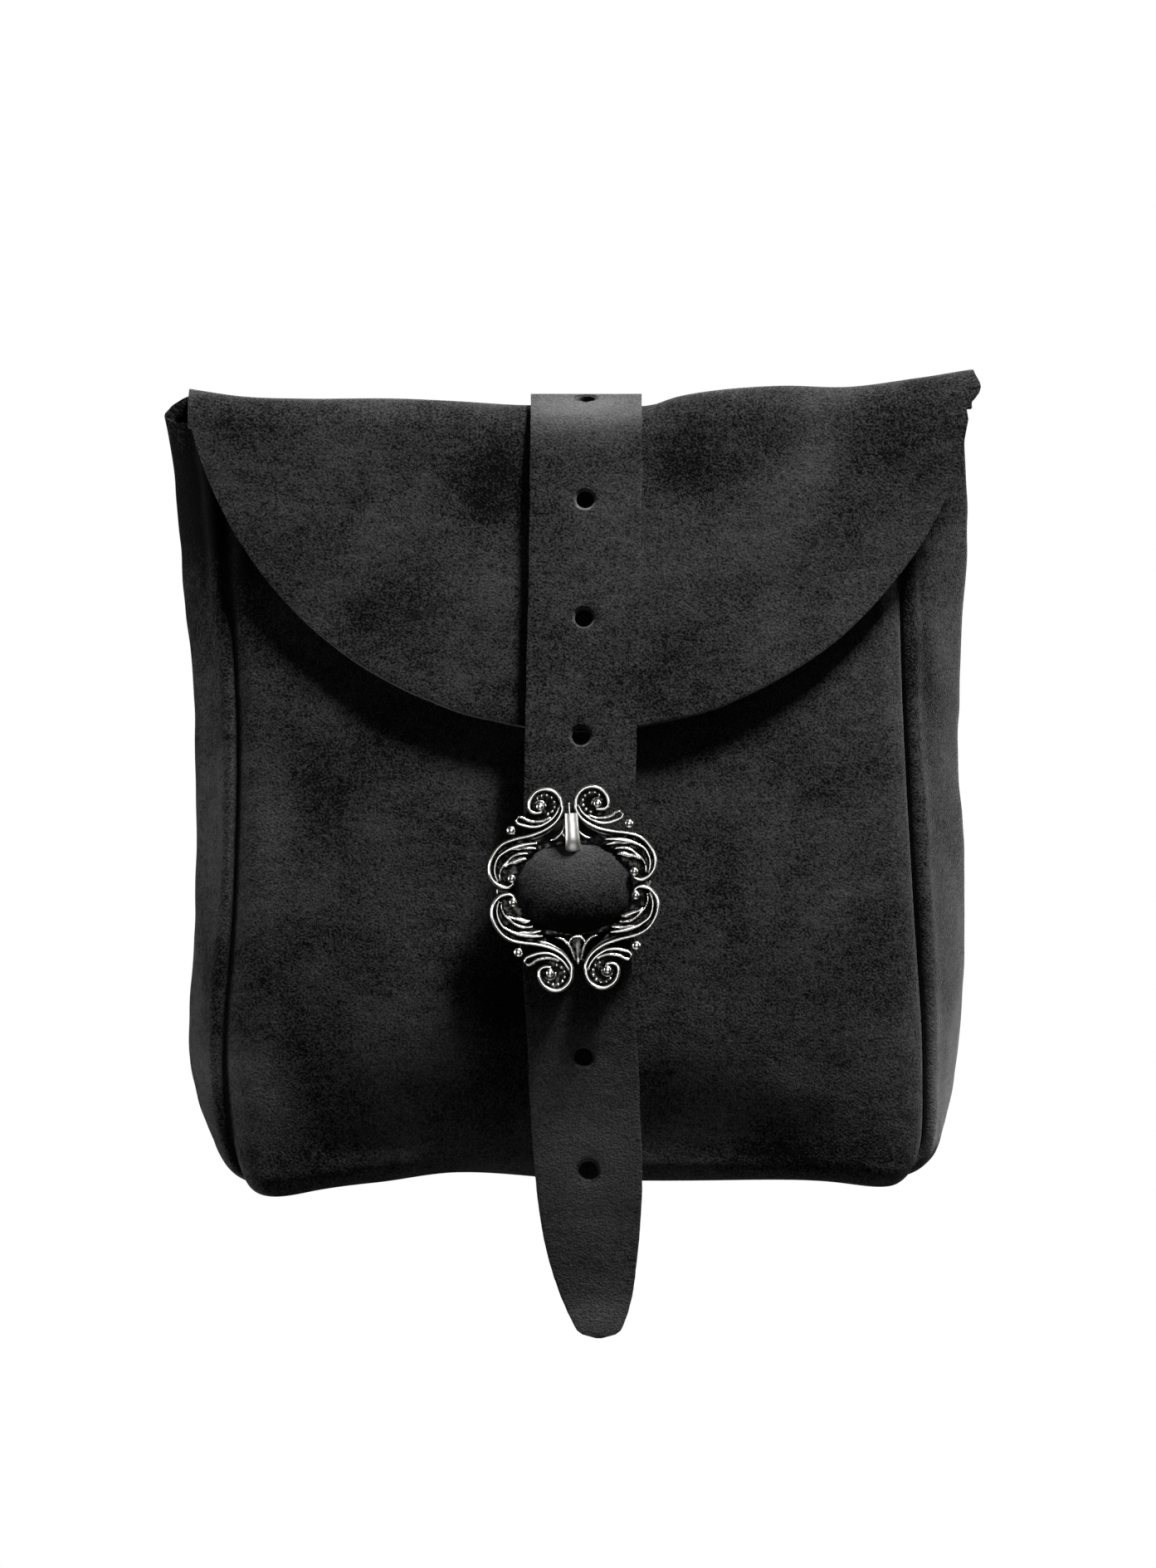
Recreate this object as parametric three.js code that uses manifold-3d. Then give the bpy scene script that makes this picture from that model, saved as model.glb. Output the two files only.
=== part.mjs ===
// A suede belt bag: a pouch with turned seams, a half-round flap and a punched strap buckled in front.
// Millimetres, +Z up, the front towards -Y, the origin in the middle of the belt passage at the back.
import * as THREE from "three";
import { mergeVertices } from "three/addons/utils/BufferGeometryUtils.js";
import Module from "manifold-3d";

const solids = await Module();
solids.setup();

// Driving dimensions
const SUEDE = 1.8; // leather of the pouch
const GUSSET_SUEDE = 1.4; // thinner leather of the gusset
const STRAP_SUEDE = 2.2; // leather of the strap
const FIT = 0.3; // gap between pieces that touch
const BACK_FACE = -3.5; // rear face of the back panel, half the belt passage in front of the origin
const SEAM_ROLL = 5; // how far from a front seam the panel starts to roll in
const ROLL_DEPTH = 4.5; // how far the front stands before its seam
const BACK_ROLL = 2.5; // the same at the back panel's edges
const GUSSET_FLARE = 1; // how far the gusset's left end stands out beside the flap
const MOUTH_DIP = 11; // how far the mouth's edge dips between its corners
const FOLD_HEIGHT = 39.6; // height of the top fold's centre
const FOLD_RADIUS = 9.6; // outer face of the fold behind the strap
const FOLD_PINCH = 1.4; // how much tighter the fold is at its corners
const FLAP_TILT = THREE.MathUtils.degToRad(13);
const FLAP_CIRCLE = { z: 66, radius: 90 }; // the flap's round edge, seen from the front
const FLAP_DROOP = 6; // how far the flap's sides lie back
const FLAP_LEFT = -88;
const FLAP_RIGHT = 89.6;
const HOLE_RADIUS = 2;
const HOLE_HEIGHTS = [50.7, 27.4, 0.9, -25.4, -50.4, -74, -96.3, -121.3];
const BUCKLE = { x: -1.6, y: -45.4, z: -58.8, roll: -3.4, lean: -4 };
const LOWER_STRETCH = 1.03; // the buckle's lower half is a little longer than its upper half
const WINDOW_BULGE = { height: 4.4, halfWidth: 12.4, halfHeight: 9.8 };
const TONGUE_X = 0.4; // the tongue sits a little right of the bar's middle
const PLATE = 1.7; // thickness of the buckle's plate
const BAR = { y: 4.6, radius: 1.1, halfLength: 16 };

const suede = new THREE.MeshStandardMaterial({ name: "suede", color: 0x242424, roughness: 0.95 });
const silver = new THREE.MeshStandardMaterial({
  name: "antique_silver",
  color: 0x8e8d8a,
  roughness: 0.35,
  metalness: 1,
});

// The pouch from the mouth down: its front seam, its back seam and how far its sides stand out
const FRONT_SEAM = [
  { z: 38, left: -80, right: 71, depth: -12.5 },
  { z: 15, left: -79, right: 71.2, depth: -16.8 },
  { z: -22, left: -76.5, right: 72, depth: -23.5 },
  { z: -62, left: -77, right: 74, depth: -28.5 },
  { z: -99, left: -79, right: 76, depth: -30.2 },
  { z: -118.5, left: -76.8, right: 74.6, depth: -31 },
  { z: -124.5, left: -71.5, right: 69.5, depth: -31.5 },
];
const BACK_SEAM = [
  { z: 39, left: -87, right: 82.5 },
  { z: 15, left: -86, right: 83.6 },
  { z: -22, left: -83.5, right: 81.6 },
  { z: -62, left: -83.3, right: 82.5 },
  { z: -99, left: -84, right: 81 },
  { z: -114, left: -79.5, right: 78.2 },
  { z: -120, left: -70, right: 73 },
];
const SIDES = [
  { left: -91, right: 82.6 },
  { left: -88.2, right: 82.6 },
  { left: -84.9, right: 81.9 },
  { left: -85.1, right: 84 },
  { left: -86.3, right: 83 },
  { left: -79.7, right: 79.6 },
  { left: -71, right: 71.5 },
];
// How far the front's middle stands before its sides, by height
const CROWN = [
  { z: 38, rise: 0.2 },
  { z: 0, rise: 2.2 },
  { z: -24, rise: 3.7 },
  { z: -60, rise: 5.2 },
  { z: -85, rise: 6.9 },
  { z: -105, rise: 6 },
  { z: -124, rise: 4 },
];
// How the bottom edge sags at the corners, and how the top fold lifts beside the strap
const SAG = [
  { x: -80, drop: -3 },
  { x: -68, drop: -2.3 },
  { x: -58, drop: -0.9 },
  { x: -46, drop: -0.1 },
  { x: -28, drop: 2.2 },
  { x: 0, drop: 0.6 },
  { x: 35, drop: 0.5 },
  { x: 56, drop: 1.2 },
  { x: 70, drop: -0.7 },
];
const LIFT = [
  { x: -89, rise: 5.2 },
  { x: -76, rise: 2.8 },
  { x: -62, rise: 1.9 },
  { x: -42, rise: 1.6 },
  { x: -28, rise: 0.9 },
  { x: -14, rise: 0 },
  { x: 0, rise: 0 },
  { x: 16, rise: 0 },
  { x: 21, rise: 1.7 },
  { x: 30, rise: 3.3 },
  { x: 45, rise: 4.5 },
  { x: 60, rise: 4.5 },
  { x: 76, rise: 7 },
  { x: 89, rise: 9.4 },
];
// The gusset's section from front seam to back seam: share of the depth, lip ahead, share of the bulge,
// and how far its left end stands up there
const GUSSET_SECTION = [
  { across: 0, ahead: 0, out: 0, tip: 0 },
  { across: 0, ahead: 1.7, out: 0.12, tip: 0.5 },
  { across: 0, ahead: 2.4, out: 0.4, tip: 1.6 },
  { across: 0, ahead: 1.6, out: 0.68, tip: 2.7 },
  { across: 0.06, ahead: 0, out: 0.84, tip: 3.4 },
  { across: 0.25, ahead: 0, out: 0.96, tip: 3.8 },
  { across: 0.55, ahead: 0, out: 1, tip: 4 },
  { across: 0.85, ahead: 0, out: 0.9, tip: 3.9 },
  { across: 0.98, ahead: -0.9, out: 0.68, tip: 3.8 },
  { across: 1, ahead: -1.9, out: 0.4, tip: 5 },
  { across: 1, ahead: -1.4, out: 0.12, tip: 3.2 },
  { across: 1, ahead: 0, out: 0, tip: 0 },
];
// The strap's outer face from its tip up the front, over the fold and down the back to its sewn tail
const STRAP_FRONT = [
  { x: 4, y: -37.6, z: -158.7, half: 1.6 },
  { x: 4, y: -37.7, z: -157.6, half: 4.3 },
  { x: 3.8, y: -38, z: -153.7, half: 6.3 },
  { x: 3.3, y: -38.4, z: -148, half: 8.3 },
  { x: 2.7, y: -38.9, z: -142, half: 9.6 },
  { x: 2.2, y: -39.9, z: -134, half: 10.9 },
  { x: 1.7, y: -41.6, z: -122, half: 11.9 },
  { x: 0.9, y: -43.5, z: -107, half: 12.1 },
  { x: 0.4, y: -45, z: -95, half: 12.1 },
  { x: -0.4, y: -46, z: -82, half: 12 },
  { x: -0.9, y: -45.3, z: -71, half: 11.9 },
  { x: -1, y: -44.5, z: -59.7, half: 11.9 },
  { x: -0.8, y: -43.8, z: -49, half: 11.9 },
  { x: -0.3, y: -43, z: -38, half: 12.2 },
  { x: 0, y: -40.1, z: -24, half: 12.3 },
  { x: 0.6, y: -34.5, z: 0, half: 12.4 },
  { x: 0.9, y: -29.3, z: 22.6, half: 12.4 },
];
const STRAP_FOLD_ANGLES = [167, 140, 110, 80, 50, 20];
const STRAP_BACK = [
  { y: -1, z: 37 },
  { y: -1, z: 31 },
  { y: 1.6, z: 26 },
  { y: 5.7, z: 20 },
  { y: 5.7, z: 0 },
  { y: 5.7, z: -20 },
  { y: 1.6, z: -26 },
  { y: -1, z: -31 },
  { y: -1, z: -41 },
];
const STRAP_TOP = { x: 1.2, half: 12.4 };

// A quarter of the buckle, right (u) and up (v) of its centre
const SCROLL = [
  [13.3, 1.4], [14.4, 0.8], [15.8, 0.95], [16.9, 1.8], [17.7, 3.5], [18, 5.5], [17.4, 7.7], [15.9, 9.6],
  [13.5, 11], [10.4, 11.8], [7.3, 12.6], [4.7, 13.8], [2.75, 15.5], [1.8, 17.4],
];
const VOLUTE = { u: 5.3, v: 18.2, radius: 3.4, narrowing: 0.35, curl: 1.35, from: 193, turn: 275 };
const SPUR_LEAF = [[4.4, 15.2], [6.5, 14.3], [8.9, 14.1], [10.85, 14.5], [11.9, 15.4]];
const OUTER_LOBE = [
  [16.5, 1.7], [16.9, 3.5], [16.7, 5.2], [15.8, 6.9], [14.4, 8.1], [12.7, 8.9], [10.6, 9.5], [8.3, 9.8],
];
const INNER_LOBE = [
  [15.7, 1.9], [15.9, 3.3], [15.5, 4.8], [14.5, 5.9], [13, 6.7], [11.4, 7.1], [10.35, 7.2],
];
const FAN_SIDE = [[4.35, 10.7], [3.05, 11.1], [2, 12.6], [1, 14.4], [0.6, 16]];
const FAN_PETAL = [[0, 10.8], [0, 13], [0, 16.3]];
const WINDOW_EDGE = [
  [-0.4, 10.3], [4.5, 10.25], [7.7, 9.5], [9.7, 7.8], [11, 6.1], [12.2, 4.3], [12.9, 2.3], [13, -0.3],
];
const BEADS = [
  { u: 13.75, v: 2.8, radius: 1.05 },
  { u: 13.1, v: 13.1, radius: 1.2 },
  { u: 6.65, v: 17.9, radius: 1.25 },
];
const RIB = 0.85;

// Shape helpers
function byColumn(table, at, value) {
  const rows = [...table].sort((a, b) => a[at] - b[at]);
  const places = rows.map((row) => row[at]);
  const values = rows.map((row) => row[value]);
  const curve = new THREE.CubicInterpolant(places, values, 1, [0]);
  return (place) => curve.evaluate(place)[0];
}

function byIndex(table, value) {
  return byColumn(table.map((row, index) => ({ index, value: row[value] })), "index", "value");
}

function steps(...marks) {
  return marks.flatMap(([from, to, count], k) => {
    const length = count + (k === marks.length - 1 ? 1 : 0);
    return Array.from({ length }, (_, i) => from + ((to - from) * i) / count);
  });
}

const mix = THREE.MathUtils.lerp;
const smooth = THREE.MathUtils.smoothstep;
const roll = (distance, reach) => Math.sqrt(1 - (1 - Math.min(Math.max(distance, 0) / reach, 1)) ** 2);

// A leather sheet: a unit box whose grid is laid on an outer face, with its thickness behind that face
function sheet(face, thickness, acrossMarks, alongMarks) {
  const box = new THREE.BoxGeometry(1, 1, 1, acrossMarks.length - 1, alongMarks.length - 1, 1);
  const position = box.getAttribute("position");
  const [left, right] = [acrossMarks[0], acrossMarks.at(-1)];
  const [start, end] = [alongMarks[0], alongMarks.at(-1)];
  const du = 0.0015 * (right - left);
  const dv = 0.0015 * (end - start);
  for (let i = 0; i < position.count; i++) {
    const u = acrossMarks[Math.round((position.getX(i) + 0.5) * (acrossMarks.length - 1))];
    const v = alongMarks[Math.round((position.getY(i) + 0.5) * (alongMarks.length - 1))];
    const a = Math.min(Math.max(u, left + du), right - du);
    const b = Math.min(Math.max(v, start + dv), end - dv);
    const across = face(a + du, b).sub(face(a - du, b));
    const along = face(a, b + dv).sub(face(a, b - dv));
    const behind = (0.5 - position.getZ(i)) * thickness;
    const point = face(u, v).addScaledVector(across.cross(along).normalize(), -behind);
    position.setXYZ(i, point.x, point.y, point.z);
  }
  return box;
}

// A round bar along a curve, its half-width and half-depth given along the way
function sweep(curve, halfWidth, halfDepth, sides, count) {
  const bar = new THREE.CylinderGeometry(1, 1, 1, sides, count);
  const position = bar.getAttribute("position");
  const depthAxis = new THREE.Vector3(0, -1, 0);
  for (let i = 0; i < position.count; i++) {
    const t = position.getY(i) + 0.5;
    const tangent = curve.getTangentAt(t);
    const side = new THREE.Vector3().crossVectors(tangent, depthAxis).normalize();
    const front = new THREE.Vector3().crossVectors(side, tangent).normalize();
    const point = curve.getPointAt(t);
    point.addScaledVector(side, position.getX(i) * halfWidth(t));
    point.addScaledVector(front, position.getZ(i) * halfDepth(t));
    position.setXYZ(i, point.x, point.y, point.z);
  }
  return bar;
}

function toSolid(geometry) {
  const bare = geometry.clone();
  bare.deleteAttribute("normal");
  bare.deleteAttribute("uv");
  const merged = mergeVertices(bare, 1e-5);
  const solid = new solids.Mesh({
    numProp: 3,
    vertProperties: new Float32Array(merged.getAttribute("position").array),
    triVerts: new Uint32Array(merged.getIndex().array),
  });
  return new solids.Manifold(solid);
}

function toGeometry(solid) {
  const mesh = solid.getMesh();
  const geometry = new THREE.BufferGeometry();
  geometry.setAttribute("position", new THREE.BufferAttribute(new Float32Array(mesh.vertProperties), 3));
  geometry.setIndex(new THREE.BufferAttribute(new Uint32Array(mesh.triVerts), 1));
  return geometry;
}

function mirrored(geometry, x, z) {
  const copy = mergeVertices(geometry.clone().applyMatrix4(new THREE.Matrix4().makeScale(x, 1, z)));
  if (x * z < 0) {
    copy.setIndex([...copy.getIndex().array].reverse());
  }
  return copy;
}

function named(name, geometry, material) {
  const mesh = new THREE.Mesh(geometry, material);
  mesh.name = name;
  return mesh;
}

// Pouch outlines: the front seam and the back seam run down the left, along the bottom and up the right
const crown = byColumn(CROWN, "z", "rise");
const sag = byColumn(SAG, "x", "drop");
const lift = byColumn(LIFT, "x", "rise");
const warp = (point) => {
  point.z += lift(point.x) * smooth(point.z, 0, FOLD_HEIGHT);
  return point;
};
const BOTTOM_X = [-46, -28, 0, 35];
const LAST = 2 * SIDES.length + BOTTOM_X.length - 1;
const TOE = SIDES.length - 1;

function outline(seam, depth) {
  const toe = seam[TOE];
  const down = seam.map((row) => new THREE.Vector3(row.left, depth(row), row.z));
  const bottom = BOTTOM_X.map((x) => new THREE.Vector3(x, depth(toe), toe.z));
  const up = seam.map((row) => new THREE.Vector3(row.right, depth(row), row.z)).reverse();
  return new THREE.CatmullRomCurve3([...down, ...bottom, ...up], false, "centripetal");
}

const frontCurve = outline(FRONT_SEAM, (row) => row.depth);
const backCurve = outline(BACK_SEAM, () => BACK_FACE - BACK_ROLL);
const bulgeOn = (side) =>
  SIDES.map((row, i) => ({ bulge: Math.abs(row[side] - (FRONT_SEAM[i][side] + BACK_SEAM[i][side]) / 2) }));
const flat = BOTTOM_X.map(() => ({ bulge: 0 }));
const bulges = byIndex([...bulgeOn("left"), ...flat, ...bulgeOn("right").reverse()], "bulge");

function frontSeam(place) {
  const point = frontCurve.getPoint(place / LAST);
  point.z += sag(point.x) * smooth(-point.z, 95, 124.5);
  return warp(point);
}

function backSeam(place) {
  return warp(backCurve.getPoint(place / LAST));
}

// Front panel
function frontFace(u, row) {
  const left = frontSeam(row);
  const right = frontSeam(LAST - row);
  const point = left.clone().lerp(right, u);
  const base = frontSeam(TOE).lerp(frontSeam(LAST - TOE), u);
  const bottom = frontSeam(mix(TOE, LAST - TOE, u));
  const hang = (row / TOE) ** 3;
  point.x += (bottom.x - base.x) * hang;
  point.z += (bottom.z - base.z) * hang;
  point.z -= MOUTH_DIP * (1 - (2 * u - 1) ** 4) * (1 - smooth(row, 0, 1.6));
  const toSide = Math.min(point.x - left.x, right.x - point.x);
  const toBottom = point.z - bottom.z;
  const turned = roll(toSide, SEAM_ROLL) * roll(toBottom, SEAM_ROLL);
  const middle = (1 - Math.abs(2 * u - 1) ** 2.5) * smooth(toBottom, -4, 22);
  point.y -= ROLL_DEPTH * turned + crown(point.z) * middle;
  return point;
}
const sideRows = [0, 0.5, 1, 1.5, 2.2, 3, 3.7, 4.2, 4.6, 5, 5.3, 5.6, 5.85, 5.95, 6];
const panelSide = [0, 0.004, 0.014, 0.032, 0.065, 0.12, 0.2, 0.3, 0.4, 0.5];
const panelAcross = [...panelSide, ...panelSide.slice(0, -1).reverse().map((u) => 1 - u)];

const frontPanel = sheet(
  (u, v) => frontFace(u, TOE - v),
  SUEDE,
  panelAcross,
  sideRows.map((row) => TOE - row).reverse(),
);

// Gusset
const section = {
  across: byIndex(GUSSET_SECTION, "across"),
  ahead: byIndex(GUSSET_SECTION, "ahead"),
  out: byIndex(GUSSET_SECTION, "out"),
  tip: byIndex(GUSSET_SECTION, "tip"),
};

function gussetFace(u, place) {
  const front = frontSeam(place);
  const back = backSeam(place);
  const before = frontSeam(Math.max(place - 0.05, 0)).add(backSeam(Math.max(place - 0.05, 0)));
  const after = frontSeam(Math.min(place + 0.05, LAST)).add(backSeam(Math.min(place + 0.05, LAST)));
  const way = after.sub(before).setY(0).normalize();
  const outward = new THREE.Vector3(0, 1, 0).cross(way);
  const bulge = Math.max(bulges(place), 0.2);
  const lip = Math.min(bulge / 4, 1);
  front.y += 2 * FIT;
  back.y -= 2 * FIT;
  const point = front.lerp(back, mix(u / (GUSSET_SECTION.length - 1), section.across(u), lip));
  const fromMouth = Math.min(place, LAST - place);
  point.y -= section.ahead(u) * lip * (section.ahead(u) > 0 ? 1 : smooth(fromMouth, 0.3, 1.4));
  point.z += section.tip(u) * (1 - smooth(place, 0, 0.8));
  const flare = GUSSET_FLARE * Math.min(2 * section.out(u), 1) * (1 - smooth(place, 0, 0.5));
  return point.addScaledVector(outward, section.out(u) * bulge + flare + mix(-0.4, 1.5 * FIT, lip));
}
const gusset = sheet(
  gussetFace,
  GUSSET_SUEDE,
  steps([0, GUSSET_SECTION.length - 1, GUSSET_SECTION.length - 1]),
  [
    ...sideRows,
    ...[0.032, 0.12, 0.3, 0.5, 0.7, 0.88, 0.968].map((u) => mix(TOE, LAST - TOE, u)),
    ...sideRows.map((row) => LAST - row).reverse(),
  ],
);

// Back panel, top fold and half-round flap, from the flap's edge over the fold to the bottom
function backFace(u, v) {
  const share = (1 - Math.cos(Math.PI * u)) / 2;
  const x = mix(FLAP_LEFT, FLAP_RIGHT, share);
  const out = Math.abs(x) / FLAP_RIGHT;
  const radius = FOLD_RADIUS - FOLD_PINCH * Math.min(out, 1) ** 3;
  const height = FOLD_HEIGHT + lift(x);
  const turn = Math.PI - FLAP_TILT;
  if (v >= 2) {
    const row = v - 2;
    const left = backSeam(row);
    const right = backSeam(LAST - row);
    const point = left.clone().lerp(right, share);
    const toSide = Math.min(point.x - left.x, right.x - point.x);
    const toBottom = point.z - mix(backSeam(TOE).z, backSeam(LAST - TOE).z, share);
    const turned = mix(1, roll(toSide, 3.5) * roll(toBottom, 3.5), smooth(row, 0.1, 0.9));
    point.x = mix(x, point.x, smooth(row, 0, 0.8));
    point.z = mix(height, point.z, smooth(row, 0, 0.6));
    point.y = BACK_FACE - BACK_ROLL * (1 - turned);
    return point;
  }
  const angle = mix(turn, 0, Math.max(v - 1, 0));
  const y = BACK_FACE - radius + radius * Math.cos(angle);
  const z = height + radius * Math.sin(angle);
  if (v >= 1) {
    return new THREE.Vector3(x, y, z);
  }
  const edge = FLAP_CIRCLE.z - Math.sqrt(FLAP_CIRCLE.radius ** 2 - x ** 2);
  const fall = Math.max(z - edge, 2.5) * (1 - v);
  const droop = FLAP_DROOP * out ** 2.5 * smooth(fall, 0, 60);
  return new THREE.Vector3(x, y - fall * Math.tan(FLAP_TILT) + droop, z - fall);
}
const backAndFlap = sheet(
  backFace,
  SUEDE,
  steps([0, 1, 18]),
  [...steps([0, 1, 8], [1, 2, 6]), 2.35, 2.8, 3.5, 4.5, 5.7, 6.6, 7, 7.3, 7.6, 7.85, 7.95, 8],
);

// Buckle, in its own frame, then set on the bag
const drawn = ([u, v]) => new THREE.Vector3(u, -PLATE, v);
const curveOf = (points) => new THREE.CatmullRomCurve3(points.map(drawn), false, "centripetal");
const volutePoints = steps([0, 1, 14]).map((t) => {
  const angle = THREE.MathUtils.degToRad(VOLUTE.from - VOLUTE.turn * t);
  const radius = VOLUTE.radius - VOLUTE.narrowing * t - VOLUTE.curl * smooth(t, 0.7, 1);
  return [VOLUTE.u + radius * Math.cos(angle), VOLUTE.v + radius * Math.sin(angle)];
});
function leaf(points, width) {
  const halfWidth = (t) => width * (0.45 + 0.55 * Math.sin(Math.PI * (0.12 + 0.8 * t)));
  return sweep(curveOf(points), halfWidth, () => RIB + 0.1, 4, 6);
}

function plateQuarter() {
  const shape = new THREE.Shape();
  shape.moveTo(...WINDOW_EDGE[0]);
  WINDOW_EDGE.slice(1).forEach(([u, v]) => shape.lineTo(u, v));
  shape.lineTo(17.2, -0.3);
  SCROLL.slice(3).forEach(([u, v]) => shape.lineTo(u, v));
  shape.lineTo(-0.4, 17);
  const plate = new THREE.ExtrudeGeometry(shape, { depth: PLATE, bevelEnabled: false });
  return plate.rotateX(Math.PI / 2);
}

const disc = new THREE.CylinderGeometry(VOLUTE.radius - 0.2, VOLUTE.radius - 0.2, PLATE, 12);
disc.translate(VOLUTE.u, -PLATE / 2, VOLUTE.v);
const quarter = [
  plateQuarter(),
  disc,
  sweep(curveOf([...SCROLL, ...volutePoints.slice(1)]), () => RIB + 0.1, () => RIB + 0.25, 6, 22),
  leaf(SPUR_LEAF, 1.1),
  leaf(OUTER_LOBE, 0.95),
  leaf(INNER_LOBE, 0.95),
  leaf(FAN_SIDE, 0.8),
  ...BEADS.map(({ u, v, radius }) => new THREE.SphereGeometry(radius, 8, 4).translate(u, -PLATE, v)),
];
const bar = new THREE.CylinderGeometry(BAR.radius, BAR.radius, 2 * BAR.halfLength, 12);
bar.rotateZ(Math.PI / 2).translate(0, BAR.y, 0);
const barPosts = [-1, 1].map((side) =>
  new THREE.CylinderGeometry(1.4, 1.4, BAR.y + BAR.radius + PLATE, 10).translate(
    side * (BAR.halfLength - 0.4),
    (BAR.y + BAR.radius - PLATE) / 2,
    0,
  ),
);
const fourfold = [[1, 1], [-1, 1], [1, -LOWER_STRETCH], [-1, -LOWER_STRETCH]].flatMap(([x, z]) =>
  quarter.map((piece) => toSolid(mirrored(piece, x, z))),
);
const petal = sweep(curveOf(FAN_PETAL), (t) => 1.5 * (1 - 0.75 * t), () => RIB, 6, 4);
const fanPetals = [1, -LOWER_STRETCH].map((z) => toSolid(mirrored(petal, 1, z)));
const barSolids = [bar, ...barPosts].map(toSolid);
const frameSolid = solids.Manifold.union([...fourfold, ...fanPetals, ...barSolids]);

// Tongue: a ring on the bar and a prong that comes up through the strap and rests on the frame
const prongLine = new THREE.CatmullRomCurve3(
  [
    [4.6, 1.6], [3.6, 4], [2, 6.4], [0, 8], [-2.4, 9], [-4.1, 10.1], [-4.7, 11.7], [-4, 16.3],
  ].map(([y, z]) => new THREE.Vector3(TONGUE_X, y, z)),
);
const prong = (grow) =>
  sweep(prongLine, (t) => 1.75 - 0.4 * t + grow, () => 1.05 + grow, 8, 12);
const ring = new THREE.LatheGeometry(
  [[1.4, -1.8], [2.4, -1.8], [2.4, 1.8], [1.4, 1.8], [1.4, -1.8]].map(([r, h]) => new THREE.Vector2(r, h)),
  16,
);
ring.rotateZ(Math.PI / 2).translate(TONGUE_X, BAR.y, 0);
const barClearance = new THREE.CylinderGeometry(BAR.radius + FIT, BAR.radius + FIT, 8, 16);
barClearance.rotateZ(Math.PI / 2).translate(0, BAR.y, 0);
const tongueSolid = toSolid(prong(0)).add(toSolid(ring)).subtract(toSolid(barClearance));

// Chape: a strip folded round the bar, its doubled tail lying on the front panel
function chapeSolid() {
  const outer = 2.5;
  const shape = new THREE.Shape();
  shape.absarc(BAR.y, 0, outer, 0, Math.PI, false);
  shape.lineTo(3.7, -7);
  shape.lineTo(3.7, -18);
  shape.lineTo(5.4, -18);
  shape.lineTo(6.1, -7);
  const body = new THREE.ExtrudeGeometry(shape, { depth: 16, bevelEnabled: false, curveSegments: 8 });
  body.applyMatrix4(new THREE.Matrix4().set(0, 0, 1, -8, 1, 0, 0, 0, 0, 1, 0, 0, 0, 0, 0, 1));
  const bore = new THREE.CylinderGeometry(BAR.radius + FIT, BAR.radius + FIT, 20, 12);
  bore.rotateZ(Math.PI / 2).translate(0, BAR.y, 0);
  const slot = new THREE.BoxGeometry(4.6, 12, 10).translate(TONGUE_X, BAR.y, 1.6);
  return toSolid(body).subtract(toSolid(bore)).subtract(toSolid(slot));
}

const buckle = new THREE.Group();
buckle.position.set(BUCKLE.x, BUCKLE.y, BUCKLE.z);
buckle.rotation.set(THREE.MathUtils.degToRad(BUCKLE.lean), THREE.MathUtils.degToRad(BUCKLE.roll), 0);
buckle.add(
  named("buckle_frame", toGeometry(frameSolid), silver),
  named("buckle_tongue", toGeometry(tongueSolid), silver),
  named("buckle_chape", toGeometry(chapeSolid()), suede),
);
buckle.updateMatrixWorld(true);

// Strap
const strapRows = [
  ...STRAP_FRONT,
  ...STRAP_FOLD_ANGLES.map((degrees) => {
    const angle = THREE.MathUtils.degToRad(degrees);
    const radius = FOLD_RADIUS + FIT + STRAP_SUEDE;
    const y = BACK_FACE - FOLD_RADIUS + radius * Math.cos(angle);
    return { ...STRAP_TOP, y, z: FOLD_HEIGHT + radius * Math.sin(angle) };
  }),
  ...STRAP_BACK.map((row) => ({ ...STRAP_TOP, ...row })),
];
const strapCurve = new THREE.CatmullRomCurve3(
  strapRows.map(({ x, y, z }) => new THREE.Vector3(x, y, z)),
  false,
  "centripetal",
);
const strapHalf = byIndex(strapRows, "half");

function strapFace(u, place) {
  const point = strapCurve.getPoint(place / (strapRows.length - 1));
  point.x += strapHalf(place) * (2 * u - 1);
  const spot = new THREE.Vector2(point.x - BUCKLE.x, point.z - BUCKLE.z);
  spot.rotateAround(new THREE.Vector2(), THREE.MathUtils.degToRad(BUCKLE.roll));
  const right = Math.abs(spot.x) / WINDOW_BULGE.halfWidth;
  const up = Math.abs(spot.y) / WINDOW_BULGE.halfHeight;
  const within = place < STRAP_FRONT.length ? 1 - right ** 2.2 - up ** 2.2 : 0;
  point.y -= WINDOW_BULGE.height * Math.max(within, 0) ** 0.7;
  return point;
}
const strapAcross = [0, 0.07, 0.25, 0.5, 0.75, 0.93, 1];
const strapEnd = strapRows.length - 1;
const strapSheet = sheet(
  strapFace,
  STRAP_SUEDE,
  strapAcross,
  steps([0, 9, 9], [9, 13, 14], [13, 17, 4], [17, 23, 10], [23, strapEnd, strapEnd - 23]),
);

function placeAtHeight(height) {
  let low = 0;
  let high = STRAP_FRONT.length + 2.5;
  for (let i = 0; i < 40; i++) {
    const middle = (low + high) / 2;
    [low, high] = strapFace(0.5, middle).z < height ? [middle, high] : [low, middle];
  }
  return low;
}

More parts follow.
